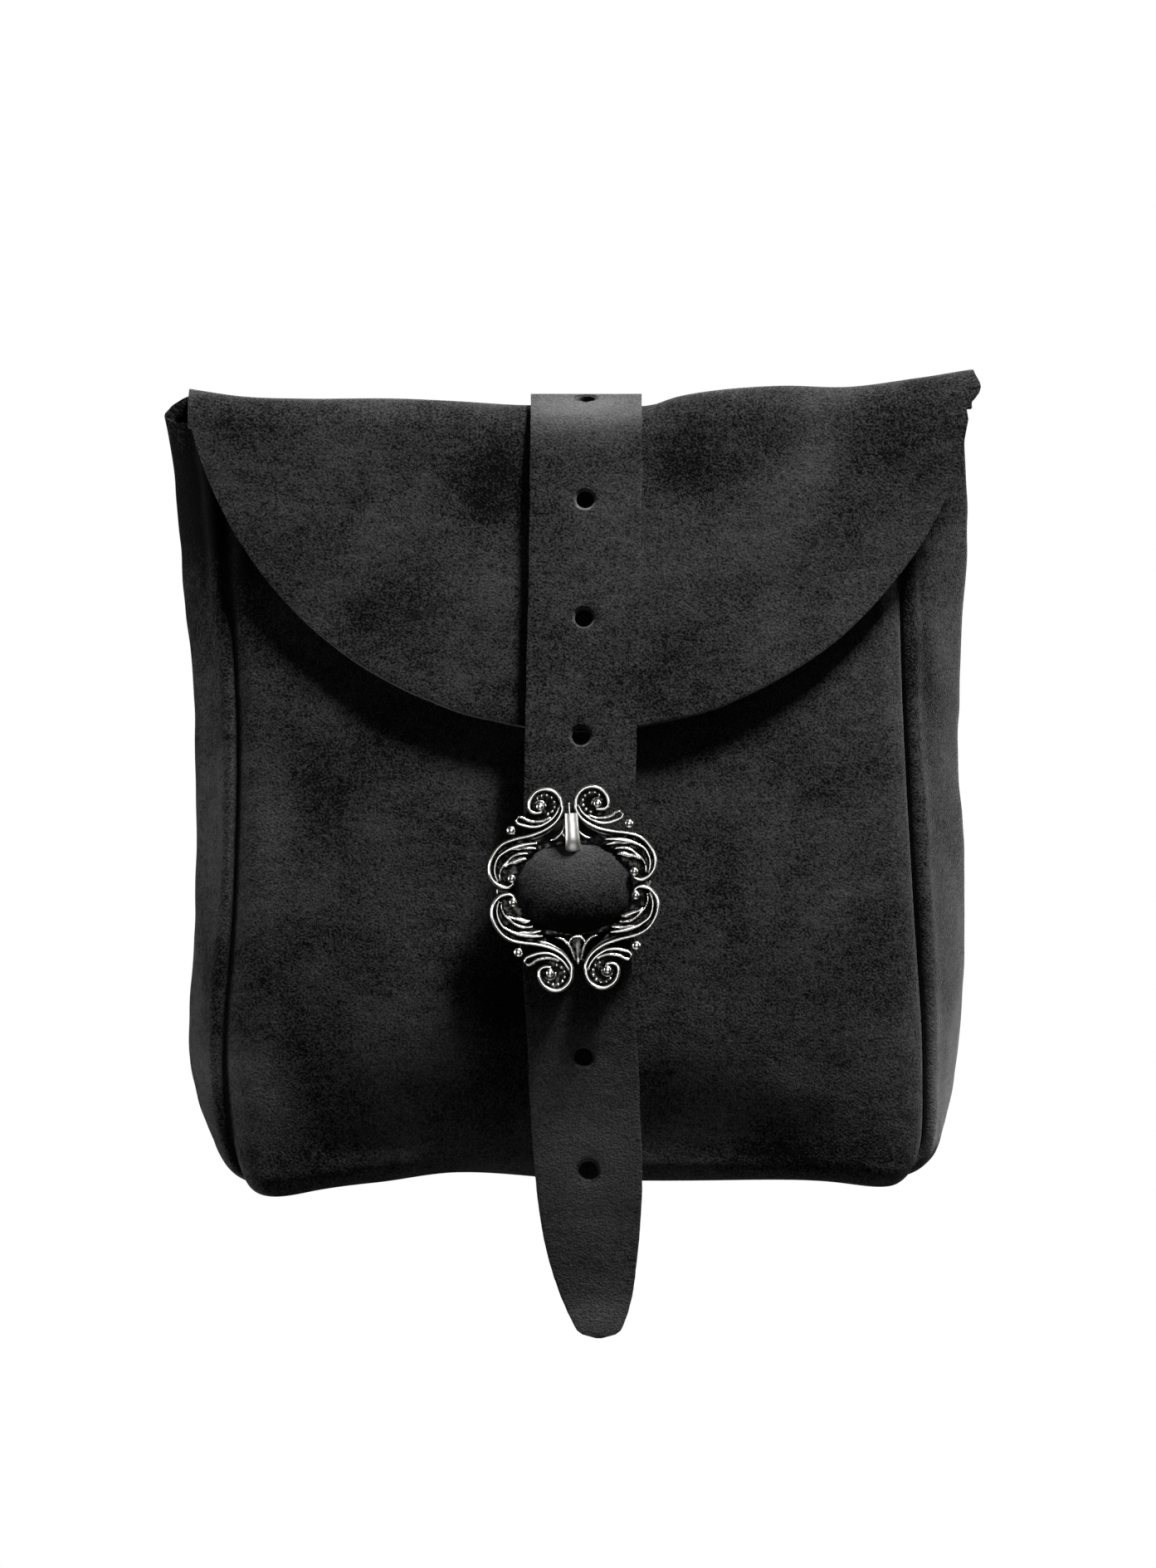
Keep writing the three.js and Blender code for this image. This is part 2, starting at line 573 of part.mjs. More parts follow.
function holeCutter(place) {
  const centre = strapFace(0.5, place);
  const along = strapFace(0.5, place + 0.02).sub(strapFace(0.5, place - 0.02)).normalize();
  const through = new THREE.Vector3(1, 0, 0).cross(along);
  const cutter = new THREE.CylinderGeometry(HOLE_RADIUS, HOLE_RADIUS, 4 * STRAP_SUEDE, 12);
  cutter.applyQuaternion(new THREE.Quaternion().setFromUnitVectors(new THREE.Vector3(0, 1, 0), through));
  return toSolid(cutter.translate(centre.x, centre.y, centre.z));
}
const tongueRoom = prong(FIT + 0.1).applyMatrix4(buckle.matrixWorld);
const strapCuts = [...HOLE_HEIGHTS.map(placeAtHeight).map(holeCutter), toSolid(tongueRoom)];
const strapSolid = toSolid(strapSheet).subtract(solids.Manifold.union(strapCuts));

const group = new THREE.Group();
group.name = "belt_bag";
group.add(
  named("back_and_flap", backAndFlap, suede),
  named("front_panel", frontPanel, suede),
  named("gusset", gusset, suede),
  named("strap", toGeometry(strapSolid), suede),
  buckle,
);
export default group;
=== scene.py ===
import bmesh
import bpy
import numpy as np
from mathutils import Matrix, Vector, noise


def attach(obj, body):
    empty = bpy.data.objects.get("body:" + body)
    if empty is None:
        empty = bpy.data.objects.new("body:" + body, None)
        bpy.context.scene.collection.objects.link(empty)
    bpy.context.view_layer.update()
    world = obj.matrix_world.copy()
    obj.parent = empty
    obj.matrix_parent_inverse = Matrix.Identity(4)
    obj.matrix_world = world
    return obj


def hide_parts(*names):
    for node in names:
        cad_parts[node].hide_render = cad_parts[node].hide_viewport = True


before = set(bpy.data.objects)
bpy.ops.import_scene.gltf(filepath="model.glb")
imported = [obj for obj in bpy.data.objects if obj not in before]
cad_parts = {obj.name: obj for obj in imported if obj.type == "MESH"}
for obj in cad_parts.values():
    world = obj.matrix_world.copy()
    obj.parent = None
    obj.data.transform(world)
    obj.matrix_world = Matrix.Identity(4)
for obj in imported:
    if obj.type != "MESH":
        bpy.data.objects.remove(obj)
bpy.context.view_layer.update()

# Front panel
# One piece of black suede with round lower corners, sewn to the gusset inside out and turned, so that its
# edges roll back into the seam. The filled pouch pushes its middle forward.
MM = 0.001
SUEDE_WALL = 1.8
SEAM_ROLL = 5
ROLL_DEPTH = 4.5
MOUTH_DIP = 11
FOLD_HEIGHT = 39.6
BOTTOM_X = (-46, -28, 0, 35)
FRONT_SEAM = (  # height, left, right, depth
    (38, -80, 71, -12.5),
    (15, -79, 71.2, -16.8),
    (-22, -76.5, 72, -23.5),
    (-62, -77, 74, -28.5),
    (-99, -79, 76, -30.2),
    (-118.5, -75.8, 74.6, -31),
    (-124.5, -71.5, 69.5, -31.5),
)
# A place on a seam counts its points from the left of the mouth: TOE ends the left side, LAST the right
TOE = len(FRONT_SEAM) - 1
LAST = 2 * len(FRONT_SEAM) + len(BOTTOM_X) - 1
BOTTOM_FROM = -95
# By height, how far the filled pouch bulges; by x, how far the bottom seam and the top rise
CROWN = ((38, 0.2), (0, 2.2), (-24, 3.7), (-60, 5.2), (-85, 6.9), (-105, 6), (-124, 4))
BOTTOM_RISE = (
    (-80, -3), (-68, -2.3), (-58, -0.9), (-46, -0.1), (-28, 2.2), (0, 0.6), (35, 0.5), (56, 1.2),
    (70, -0.7),
)  # fmt: skip
TOP_RISE = (
    (-89, 5.2), (-76, 2.8), (-62, 1.9), (-42, 1.6), (-28, 0.9), (-14, 0), (0, 0), (16, 0), (21, 1.7),
    (30, 3.3), (45, 4.5), (60, 4.5), (76, 7), (89, 9.4),
)  # fmt: skip
SEED_STEP = 7.3


def column(rows):
    """A smooth curve through rows of a place and a value, level beyond its ends."""
    place, value = np.array(sorted(rows), float).T
    secants = np.diff(value) / np.diff(place)
    slopes = np.concatenate([secants[:1], (secants[1:] + secants[:-1]) / 2, secants[-1:]])

    def read(at):
        i = np.clip(np.searchsorted(place, at) - 1, 0, len(place) - 2)
        span = place[i + 1] - place[i]
        t = np.clip((at - place[i]) / span, 0, 1)
        rise = value[i + 1] - value[i]
        start = slopes[i] * span
        bend = 3 * rise - 2 * start - slopes[i + 1] * span
        return value[i] + t * (start + t * (bend + t * (rise - start - bend)))

    return read


def through(points, at):
    """Points on the rounded line through the given points, at places counted from the first one."""
    points = np.asarray(points, float)
    line = np.vstack([2 * points[0] - points[1], points, 2 * points[-1] - points[-2]])
    i = np.clip(np.floor(at).astype(int), 0, len(points) - 2)
    t = (at - i)[..., None]
    a, b, c, d = (line[i + k] for k in range(4))
    ab = np.sqrt(np.linalg.norm(b - a, axis=-1, keepdims=True))
    bc = np.sqrt(np.linalg.norm(c - b, axis=-1, keepdims=True))
    cd = np.sqrt(np.linalg.norm(d - c, axis=-1, keepdims=True))
    leave = bc * ((b - a) / ab - (c - a) / (ab + bc)) + c - b
    reach = bc * ((d - c) / cd - (d - b) / (bc + cd)) + c - b
    return b + t * (leave + t * (3 * (c - b) - 2 * leave - reach + t * (2 * (b - c) + leave + reach)))


def ease(value, low, high):
    """From 0 at low to 1 at high, level at both ends."""
    t = np.clip((value - low) / (high - low), 0, 1)
    return t * t * (3 - 2 * t)


def rolled(distance, reach):
    """How far a rolled edge has come up from its seam, from 0 to 1 at its reach."""
    return np.sqrt(1 - (1 - np.clip(distance / reach, 0, 1)) ** 2)


def uneven(points, depth, size, seed):
    """Soft unevenness of a depth either way, its waves about size millimetres long."""
    return depth * np.array([noise.noise(p) for p in (points / size + SEED_STEP * seed).tolist()])


def spots(x, z, rows):
    """The sum of soft round spots: rows of a place, half sizes and a strength."""
    total = np.zeros(len(x))
    for at_x, at_z, half_x, half_z, strength in rows:
        total += strength * np.exp(-(((x - at_x) / half_x) ** 2) - ((z - at_z) / half_z) ** 2)
    return total


crown = column(CROWN)
bottom_rise = column(BOTTOM_RISE)
top_rise = column(TOP_RISE)


def seam_points(rows, depths):
    """A seam's points down its left side, along the bottom and up its right side."""
    down = [(left, depth, z) for (z, left, right, *_), depth in zip(rows, depths)]
    up = [(right, depth, z) for (z, left, right, *_), depth in zip(rows, depths)]
    bottom = [(x, depths[TOE], rows[TOE][0]) for x in BOTTOM_X]
    return down + bottom + up[::-1]


def front_seam(at):
    point = through(seam_points(FRONT_SEAM, [row[3] for row in FRONT_SEAM]), at)
    point[:, 2] += bottom_rise(point[:, 0]) * ease(-point[:, 2], -BOTTOM_FROM, -FRONT_SEAM[TOE][0])
    point[:, 2] += top_rise(point[:, 0]) * ease(point[:, 2], 0, FOLD_HEIGHT)
    return point


FRONT_DENTS = (  # x, z, half width, half height, depth
    (40, -117.5, 30, 4, 0.15),
    (-74, -107, 7, 8, -0.9),
    (-48, -117, 12, 4, 0.8),
    (-59, -41, 9, 11, 0.7),
    (-30, -98, 16, 10, -0.5),
    (48, -103, 13, 8, -0.6),
    (53, -99, 7, 3, 0.4),
    (-14, -100, 4, 22, 0.5),
    (15, -100, 4, 24, 0.4),
)
FRONT_WAVES = (0.55, 24, 1)  # depth, length, seed
FRONT_PUCKER = (0.3, 5, 2)
PUCKER_WIDTH = 9


def front_face(s, t):
    u = (1 - np.cos(np.pi * s)) / 2
    row = TOE * (1 - np.sin(np.pi / 2 * t))
    left = front_seam(row)
    right = front_seam(LAST - row)
    toe_left = front_seam(np.full_like(u, TOE))
    toe_right = front_seam(np.full_like(u, LAST - TOE))
    bottom = front_seam(TOE + (LAST - 2 * TOE) * u)
    across = u[:, None]
    point = left + (right - left) * across
    low = ((row / TOE) ** 3)[:, None] * (1, 0, 1)
    point += (bottom - toe_left - (toe_right - toe_left) * across) * low
    point[:, 2] -= MOUTH_DIP * (1 - (2 * u - 1) ** 4) * (1 - ease(row, 0, 1.6))
    to_side = np.minimum(point[:, 0] - left[:, 0], right[:, 0] - point[:, 0])
    to_bottom = point[:, 2] - bottom[:, 2]
    turned = rolled(to_side, SEAM_ROLL) * rolled(to_bottom, SEAM_ROLL)
    middle = (1 - np.abs(2 * u - 1) ** 2.5) * ease(to_bottom, -6, 34)
    point[:, 1] -= ROLL_DEPTH * turned + crown(point[:, 2]) * middle
    to_seam = np.minimum(to_side, to_bottom)
    inside = ease(to_seam, 0.5, PUCKER_WIDTH)
    point[:, 1] += spots(point[:, 0], point[:, 2], FRONT_DENTS) * inside
    point[:, 1] += uneven(point, *FRONT_WAVES) * inside
    pucker = ease(to_seam, 0, 2) * (1 - ease(to_seam, 3, PUCKER_WIDTH))
    point[:, 1] += uneven(point, *FRONT_PUCKER) * pucker
    return point


def add_piece(name, shape):
    """An object in the scene with the mesh of a shape, which is used up."""
    mesh = bpy.data.meshes.new(name)
    shape.to_mesh(mesh)
    shape.free()
    piece = bpy.data.objects.new(name, mesh)
    bpy.context.scene.collection.objects.link(piece)
    return piece


def leather_sheet(name, across, along, face):
    """A grid of cells laid on a face of leather that is given in millimetres."""
    shape = bmesh.new()
    bmesh.ops.create_grid(shape, x_segments=across, y_segments=along, size=0.5)
    places = np.array([vertex.co for vertex in shape.verts]) + 0.5
    for vertex, point in zip(shape.verts, face(places[:, 0], places[:, 1]) * MM):
        vertex.co = point
    for cell in shape.faces:
        cell.smooth = True
    return add_piece(name, shape)


EDGE_ROUND = 0.3
EDGE_ANGLE = np.radians(55)


def give_wall(sheet, thickness, surface, rim):
    """The leather's thickness behind its face, with a finish of their own on the rounded cut edges."""
    sheet.data.materials.append(surface)
    sheet.data.materials.append(rim)
    wall = sheet.modifiers.new("thickness", "SOLIDIFY")
    wall.thickness = thickness * MM
    wall.offset = -1
    wall.material_offset_rim = 1
    edge = sheet.modifiers.new("cut_edge", "BEVEL")
    edge.width = EDGE_ROUND * MM
    edge.segments = 2
    edge.limit_method = "ANGLE"
    edge.angle_limit = EDGE_ANGLE


def paint_nap_light_and_shade(sheet, rows, back=1000):
    """Where the nap is lighter or darker, and where light and shade are painted on, ahead of a depth, as
    an attribute of the mesh.
    """
    place = np.array([vertex.co for vertex in sheet.data.vertices]) / MM
    nap_light_and_shade = sheet.data.attributes.new("nap_light_and_shade", "FLOAT", "POINT")
    strength = spots(place[:, 0], place[:, 2], rows) * ease(back - place[:, 1], 0, 8)
    nap_light_and_shade.data.foreach_set("value", strength.astype(np.float32))


def linear(code):
    """An sRGB hex colour as the linear red, green, blue and alpha that a shader takes."""
    parts = [int(code[i : i + 2], 16) / 255 for i in (1, 3, 5)]
    return [p / 12.92 if p <= 0.04045 else ((p + 0.055) / 1.055) ** 2.4 for p in parts] + [1]


def node(tree, kind, inputs=None, **settings):
    """Adds a node with its settings, its values and its links from other nodes' sockets."""
    made = tree.nodes.new("ShaderNode" + kind)
    for name, value in settings.items():
        setattr(made, name, value)
    for name, value in (inputs or {}).items():
        if isinstance(value, bpy.types.NodeSocket):
            tree.links.new(value, made.inputs[name])
        else:
            made.inputs[name].default_value = value
    return made


# Suede is the flesh side of a hide, buffed to a short nap and dyed black. The nap is matt, shows grainy
# specks under a millimetre wide, and clouds of lighter and darker grey where it was brushed either way.
CLOUD_SIZE = 28
STROKE_SIZE = 7
TUFT_SIZE = 1.6
GRAIN_SIZE = 0.45


def suede(name, dark, light, cloud_share):
    material = bpy.data.materials.new(name)
    material.use_nodes = True
    tree = material.node_tree
    tree.nodes.clear()
    place = node(tree, "TexCoord").outputs["Object"]
    clouds = node(
        tree,
        "TexNoise",
        {
            "Vector": place,
            "Scale": 1 / (CLOUD_SIZE * MM),
            "Detail": 2.5,
            "Roughness": 0.5,
            "Distortion": 0.6,
        },
    ).outputs["Fac"]
    slant = node(tree, "Mapping", {"Vector": place, "Rotation": (0, 0.6, 0), "Scale": (1, 1, 2.2)})
    strokes = node(
        tree,
        "TexNoise",
        {
            "Vector": slant.outputs["Vector"],
            "Scale": 1 / (STROKE_SIZE * MM),
            "Detail": 3,
            "Roughness": 0.6,
        },
    ).outputs["Fac"]
    tufts = node(tree, "TexNoise", {"Vector": place, "Scale": 1 / (TUFT_SIZE * MM), "Detail": 2})
    tufts = tufts.outputs["Fac"]
    grain = node(tree, "TexNoise", {"Vector": place, "Scale": 1 / (GRAIN_SIZE * MM), "Detail": 2})
    grain = grain.outputs["Fac"]
    # The tone also takes each mesh's spots of lighter and darker nap and of painted light and shade
    tone = node(tree, "Attribute", attribute_name="nap_light_and_shade").outputs["Fac"]
    tone = node(tree, "Math", {0: tone, 1: 0.38, 2: 0.5}, operation="MULTIPLY_ADD").outputs[0]
    for pattern, share in ((clouds, cloud_share), (strokes, 0.65), (tufts, 0.7), (grain, 2.8)):
        part = node(tree, "Math", {0: pattern, 1: 0.5}, operation="SUBTRACT").outputs[0]
        tone = node(tree, "Math", {0: part, 1: share, 2: tone}, operation="MULTIPLY_ADD").outputs[0]
    tone = node(tree, "Clamp", {"Value": tone, "Min": 0, "Max": 4}).outputs["Result"]
    colour = node(
        tree,
        "Mix",
        {"Factor": tone, 6: linear(dark), 7: linear(light)},
        data_type="RGBA",
        clamp_factor=False,
    )
    soft = node(tree, "Bump", {"Height": strokes, "Strength": 0.5, "Distance": 0.5 * MM})
    nap_light_and_shade = node(
        tree,
        "Bump",
        {"Height": grain, "Strength": 1, "Distance": 0.25 * MM, "Normal": soft.outputs["Normal"]},
    )
    shader = node(
        tree,
        "BsdfPrincipled",
        {
            "Base Color": colour.outputs[2],
            "Normal": nap_light_and_shade.outputs["Normal"],
            "Roughness": 0.95,
            "Specular IOR Level": 0.02,
            "Sheen Weight": 0.3,
            "Sheen Roughness": 0.35,
            "Sheen Tint": linear("#b4b4b4"),
        },
    )
    node(tree, "OutputMaterial", {"Surface": shader.outputs["BSDF"]})
    return material


black_suede = suede("black_suede", "#060606", "#373737", 1.5)
cut_edge = suede("suede_cut_edge", "#0c0c0c", "#3c3c3c", 0.5)
# Most spots are lighter and darker nap. Others are painted light and shade: a painted highlight on the
# lower left corner, painted light along the whole bottom, which faces down, the painted shadow of the
# buckle and strap left of the strap, and the painted shadow of the flap on the panel's left edge.
FRONT_NAP_LIGHT_AND_SHADE = (  # x, z, half width, half height, lighter or darker
    (-58, -40, 10, 12, -1),
    (-69, -45, 4, 20, 0.7),
    (-46, -43, 7, 7, 0.6),
    (-70, -108, 9, 10, 1.8),
    (-52, -119.5, 16, 4.5, -1.2),
    (-28, -97, 15, 10, 0.7),
    (46, -118.5, 30, 4.5, -1.8),
    (47, -103, 13, 8, 0.9),
    (53, -100, 7, 4, -0.5),
    (28, -46, 14, 12, 0.3),
    (0, -119, 100, 9, 0.9),
    (-16.5, -85, 7, 13, -1.9),
    (-77, 16, 4.5, 16, -2.2),
)
front_panel = leather_sheet("front_panel", 130, 120, front_face)
paint_nap_light_and_shade(front_panel, FRONT_NAP_LIGHT_AND_SHADE)
give_wall(front_panel, SUEDE_WALL, black_suede, cut_edge)
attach(front_panel, "root")
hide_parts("front_panel")

# Gusset
# One long strip of thinner suede, sewn down the left side, along the bottom and up the right side, between
# the front panel and the back. Its edges turn into the seams as small lips, and its sides puff out.
GUSSET_WALL = 1.4
BACK_FACE = -3.5
BACK_ROLL = 2.5
BACK_ROLL_WIDTH = 3.5
BACK_SEAM = (  # height, left, right
    (39, -87, 82.5),
    (15, -86, 83.6),
    (-22, -83.5, 81.6),
    (-62, -83.3, 82.5),
    (-99, -84, 81),
    (-112.5, -81.4, 78.4),
    (-120, -70, 73),
)
SIDES = (  # how far left and right the strip puffs out, at the heights of the seams
    (-91, 82.6), (-88.2, 82.6), (-84.9, 81.9), (-85.1, 84), (-86.3, 83), (-81.5, 80), (-71, 71.5),
)  # fmt: skip
GUSSET_FLARE = 1
FULL_LIP = 4  # the bulge at which a lip has its full size
GUSSET_SECTION = (  # from the front seam back: share of the depth, lip ahead, share of the bulge, left tip
    (0, 0, 0, 0),
    (0, 1.7, 0.12, 0.5),
    (0, 2.4, 0.4, 1.6),
    (0, 1.6, 0.68, 2.7),
    (0.06, 0, 0.84, 3.4),
    (0.25, 0, 0.96, 3.4),
    (0.55, 0, 1, 3.4),
    (0.85, 0, 0.9, 3.9),
    (0.98, -0.9, 0.68, 4.8),
    (1, -1.9, 0.4, 6.2),
    (1, -1.4, 0.12, 7.4),
    (1, 0, 0, 7.4),
)
GUSSET_RAGGED = (0.8, 2.2, 10)  # depth, length, seed
GUSSET_WAVES = (0.6, 17, 3)
GUSSET_CREASES = (0.35, 7, 4)
section_across, section_ahead, section_out, section_tip = (
    column(list(enumerate(values))) for values in zip(*GUSSET_SECTION)
)
bulge_left = [abs(s[0] - (f[1] + b[1]) / 2) for s, f, b in zip(SIDES, FRONT_SEAM, BACK_SEAM)]
bulge_right = [abs(s[1] - (f[2] + b[2]) / 2) for s, f, b in zip(SIDES, FRONT_SEAM, BACK_SEAM)]
bulges = column(list(enumerate(bulge_left + [0] * len(BOTTOM_X) + bulge_right[::-1])))


def back_seam(at):
    point = through(seam_points(BACK_SEAM, [BACK_FACE - BACK_ROLL] * len(BACK_SEAM)), at)
    point[:, 2] += top_rise(point[:, 0]) * ease(point[:, 2], 0, FOLD_HEIGHT)
    return point


def gusset_face(s, t):
    at = LAST * t
    across = (len(GUSSET_SECTION) - 1) * s
    front = front_seam(at)
    back = back_seam(at)
    before = np.maximum(at - 0.05, 0)
    after = np.minimum(at + 0.05, LAST)
    way = front_seam(after) + back_seam(after) - front_seam(before) - back_seam(before)
    way[:, 1] = 0
    way /= np.linalg.norm(way, axis=1, keepdims=True)
    outward = np.stack([way[:, 2], np.zeros(len(at)), -way[:, 0]], axis=1)
    bulge = np.maximum(bulges(at), 0.2)
    lip = np.minimum(bulge / FULL_LIP, 1)
    share = s + (section_across(across) - s) * lip
    point = front + (back - front) * share[:, None]
    from_mouth = np.minimum(at, LAST - at)
    ahead = section_ahead(across)
    point[:, 1] -= ahead * lip * np.where(ahead > 0, 1, ease(from_mouth, 0.3, 1.4))
    point[:, 2] += section_tip(across) * (1 - ease(at, 0, 0.8))
    point[:, 2] += uneven(point, *GUSSET_RAGGED) * (1 - ease(at, 0, 0.15))
    flare = GUSSET_FLARE * np.minimum(2 * section_out(across), 1) * (1 - ease(at, 0, 0.5))
    loose = np.sin(np.pi * s) ** 2 * lip
    out = section_out(across) * bulge + flare - 0.4 * (1 - lip) + 0.05 * lip
    out += loose * (uneven(point, *GUSSET_WAVES) + uneven(point, *GUSSET_CREASES))
    return point + outward * out[:, None]


# The painted shadow of the flap at the top of the left side, painted shade along the right seam under the
# flap's edge, and painted light in the shaded groove low on the right. The other spots are lighter and
# darker nap.
GUSSET_NAP_LIGHT_AND_SHADE = (  # x, z, half width, half height, lighter or darker
    (-88, 26, 10, 24, -2.2),
    (-83, 30, 4, 16, -1.5),
    (-84, -45, 6, 12, 0.5),
    (-84, -80, 6, 16, -0.3),
    (74, 8, 3.5, 30, -1.6),
    (80, 24, 4, 10, -1.2),
    (84, -20, 6, 22, 0.4),
    (83, -70, 8, 14, 0.3),
    (78, -104, 5, 20, 2.5),
)
gusset = leather_sheet("gusset", 36, 380, gusset_face)
paint_nap_light_and_shade(gusset, GUSSET_NAP_LIGHT_AND_SHADE)
give_wall(gusset, GUSSET_WALL, black_suede, cut_edge)
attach(gusset, "root")
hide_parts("gusset")

# Back and flap
# One hide that runs up the back, folds over the top and hangs in front as a half-round flap. Its edge is
# cut raw, and the fold is pressed down behind the strap.
FOLD_RADIUS = 9.6
FOLD_PINCH = 1.4
FLAP_TILT = np.radians(13)
FLAP_CIRCLE_Z = 66
FLAP_CIRCLE_RADIUS = 90
FLAP_DROOP = 6
FLAP_LEFT = -88
FLAP_RIGHT = 89.6
CORNER_CUT = 2.1
CORNER_ROUND = 1.3
FLAP_DENTS = (  # x, z, half width, half height, depth
    (24, 32, 8, 8, 0.9),
    (-19, 29, 6, 12, 0.8),
    (-46, -3, 9, 7, 0.6),
    (38, 7, 10, 5, 0.6),
    (-66, 22, 10, 8, -0.5),
    (52, 26, 14, 10, -0.5),
)
FLAP_WAVES = (0.7, 30, 5)  # depth, length, seed
FLAP_EDGE_WAVES = (0.4, 11, 6)


def corner_cut(x, z):
    """How far the right end of the fold is drawn in, most of it just below its rounded ear."""
    below = CORNER_CUT * ease(-z, -53, -49) * (1 - 0.55 * ease(-z, -49, -45))
    below = below * (1 - ease(-z, -43, -36))
    return ease(x, 76, FLAP_RIGHT) * (below + CORNER_ROUND * ease(z, 53, 57))


def back_face(s, t):
    # v runs to 1 up the flap, to 2 over the fold, and then down the back by the rows of its seam
    v = np.interp(t, [0, 0.4, 0.58, 1], [0, 1, 2, 2 + TOE])
    v = np.where(v > 2, 2 + TOE * np.sin(np.pi / (2 * TOE) * (v - 2)), v)
    share = (1 - np.cos(np.pi * s)) / 2
    x = FLAP_LEFT + (FLAP_RIGHT - FLAP_LEFT) * share
    out = np.abs(x) / FLAP_RIGHT
    radius = FOLD_RADIUS - FOLD_PINCH * np.minimum(out, 1) ** 3
    height = FOLD_HEIGHT + top_rise(x)
    angle = (np.pi - FLAP_TILT) * (1 - np.clip(v - 1, 0, 1))
    fold_y = BACK_FACE - radius + radius * np.cos(angle)
    fold_z = height + radius * np.sin(angle)
    edge = FLAP_CIRCLE_Z - np.sqrt(FLAP_CIRCLE_RADIUS**2 - x**2)
    fall = np.maximum(fold_z - edge, 2.5) * np.clip(1 - v, 0, 1)
    droop = FLAP_DROOP * out**2.5 * ease(fall, 0, 60)
    flap = np.stack([x, fold_y - fall * np.tan(FLAP_TILT) + droop, fold_z - fall], axis=1)
    loose = ease(fall, 2, 20)
    flap[:, 1] += spots(x, flap[:, 2], FLAP_DENTS) * loose
    flap[:, 1] += uneven(flap, *FLAP_WAVES) * loose
    flap[:, 2] += uneven(flap, *FLAP_EDGE_WAVES) * loose * (1 - ease(v, 0, 0.06))
    flap[:, 0] -= corner_cut(x, flap[:, 2])
    row = np.clip(v - 2, 0, TOE)
    left = back_seam(row)
    right = back_seam(LAST - row)
    back = left + (right - left) * share[:, None]
    to_side = np.minimum(back[:, 0] - left[:, 0], right[:, 0] - back[:, 0])
    toe_left = back_seam(np.full_like(s, TOE))[:, 2]
    toe_right = back_seam(np.full_like(s, LAST - TOE))[:, 2]
    to_bottom = back[:, 2] - (toe_left + (toe_right - toe_left) * share)
    turned = rolled(to_side, BACK_ROLL_WIDTH) * rolled(to_bottom, BACK_ROLL_WIDTH)
    turned = 1 + (turned - 1) * ease(row, 0.1, 0.9)
    back[:, 0] = x + (back[:, 0] - x) * ease(row, 0, 0.8)
    back[:, 2] = height + (back[:, 2] - height) * ease(row, 0, 0.6)
    back[:, 0] -= corner_cut(x, back[:, 2]) * (1 - ease(row, 0, 0.8))
    back[:, 1] = BACK_FACE - BACK_ROLL * (1 - turned)
    return np.where((v < 2)[:, None], flap, back)


# Lighter and darker nap, and painted shade on the flap's lower edge where it shows through a hole of the
# strap
FLAP_NAP_AND_SHADE = (  # x, z, half width, half height, lighter or darker
    (-22, 30, 9, 13, -0.8),
    (-68, 25, 10, 7, 0.6),
    (-46, -3, 10, 8, -0.6),
    (-56, 2, 7, 7, 0.5),
    (-21, 4, 8, 10, 0.3),
    (23, 34, 9, 9, -0.8),
    (46, 30, 13, 10, 0.5),
    (38, 7, 10, 5, -0.5),
    (32, -4, 9, 8, 0.4),
    (68, 40, 8, 6, -0.5),
    (0, -23, 5, 4, -5),
)
back_and_flap = leather_sheet("back_and_flap", 120, 190, back_face)
paint_nap_light_and_shade(back_and_flap, FLAP_NAP_AND_SHADE)
give_wall(back_and_flap, SUEDE_WALL, black_suede, cut_edge)
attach(back_and_flap, "root")
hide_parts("back_and_flap")

# Buckle frame
# A cast white-metal frame in antique silver: four scrolls that end in volutes, leaves inside them, beads
# between them and a fan at the top and bottom. Black patina stays in its recesses. A bar crosses its back.
BUCKLE_PLACE = (-1.6, -45.4, -58.8)
BUCKLE_ROLL = -3.4  # degrees
BUCKLE_LEAN = -4
LOWER_STRETCH = 1.03
PLATE = 1.1
RIDGE_LINE = 1.5  # forward of the plate's back
RIDGE_WIDEN = 1.12
RIM_HEIGHT = 1.3
BAR_Y = 4.6  # behind the plate's back
BAR_RADIUS = 1.1
BAR_HALF = 16
POST_RADIUS = 1.4
POST_TOP = 1.7  # forward of the plate's back
# The lines below run right and up of the buckle's middle, for a quarter of it
SCROLL = (
    (13.1, 1.5), (14.3, 0.8), (15.8, 0.95), (17.1, 1.8), (18, 3.2), (18.3, 4.8), (17.95, 6.6),
    (17.1, 8.2), (15.95, 9.6), (14.4, 10.6), (11.8, 11.3), (9.95, 11.6), (7.9, 12.05), (6.05, 12.65),
    (4.35, 13.55), (3, 14.6), (2.05, 15.9), (1.5, 17.3),
)  # fmt: skip
WINDOW_EDGE = (
    (-0.4, 10.3), (4.5, 10.25), (7.7, 9.5), (9.7, 7.8), (11, 6.1), (12.2, 4.3), (12.9, 2.3), (13, -0.3),
)  # fmt: skip
VOLUTE = (5.15, 18.3)
VOLUTE_DISC = 3.4
VOLUTE_RADIUS = 3.55
VOLUTE_TIGHTENS = 1.9
VOLUTE_START = 193
VOLUTE_SWEEP = 255
VOLUTE_BEAD = (6.35, 18.1)
COLLAR_RADIUS = 1.4
OUTER_LOBE = (
    (16.55, 2.1), (17.1, 3.6), (17.15, 4.9), (16.8, 6.3), (16.05, 7.6), (14.9, 8.4), (13.6, 9.1),
    (12.1, 9.55), (10.6, 9.85), (9, 10.05), (7.3, 10.1),
)  # fmt: skip
OUTER_FORK = ((13, 9), (11.6, 9.2), (10.3, 9.35), (9, 9.15), (7.6, 8.95))
INNER_LOBE = (
    (15.95, 2.2), (16.15, 3.4), (15.8, 4.6), (15.2, 5.6), (14.5, 6.2), (13.55, 7.05), (12.6, 7.65),
    (11.65, 7.95), (10.4, 8.05), (9.45, 7.9),
)  # fmt: skip
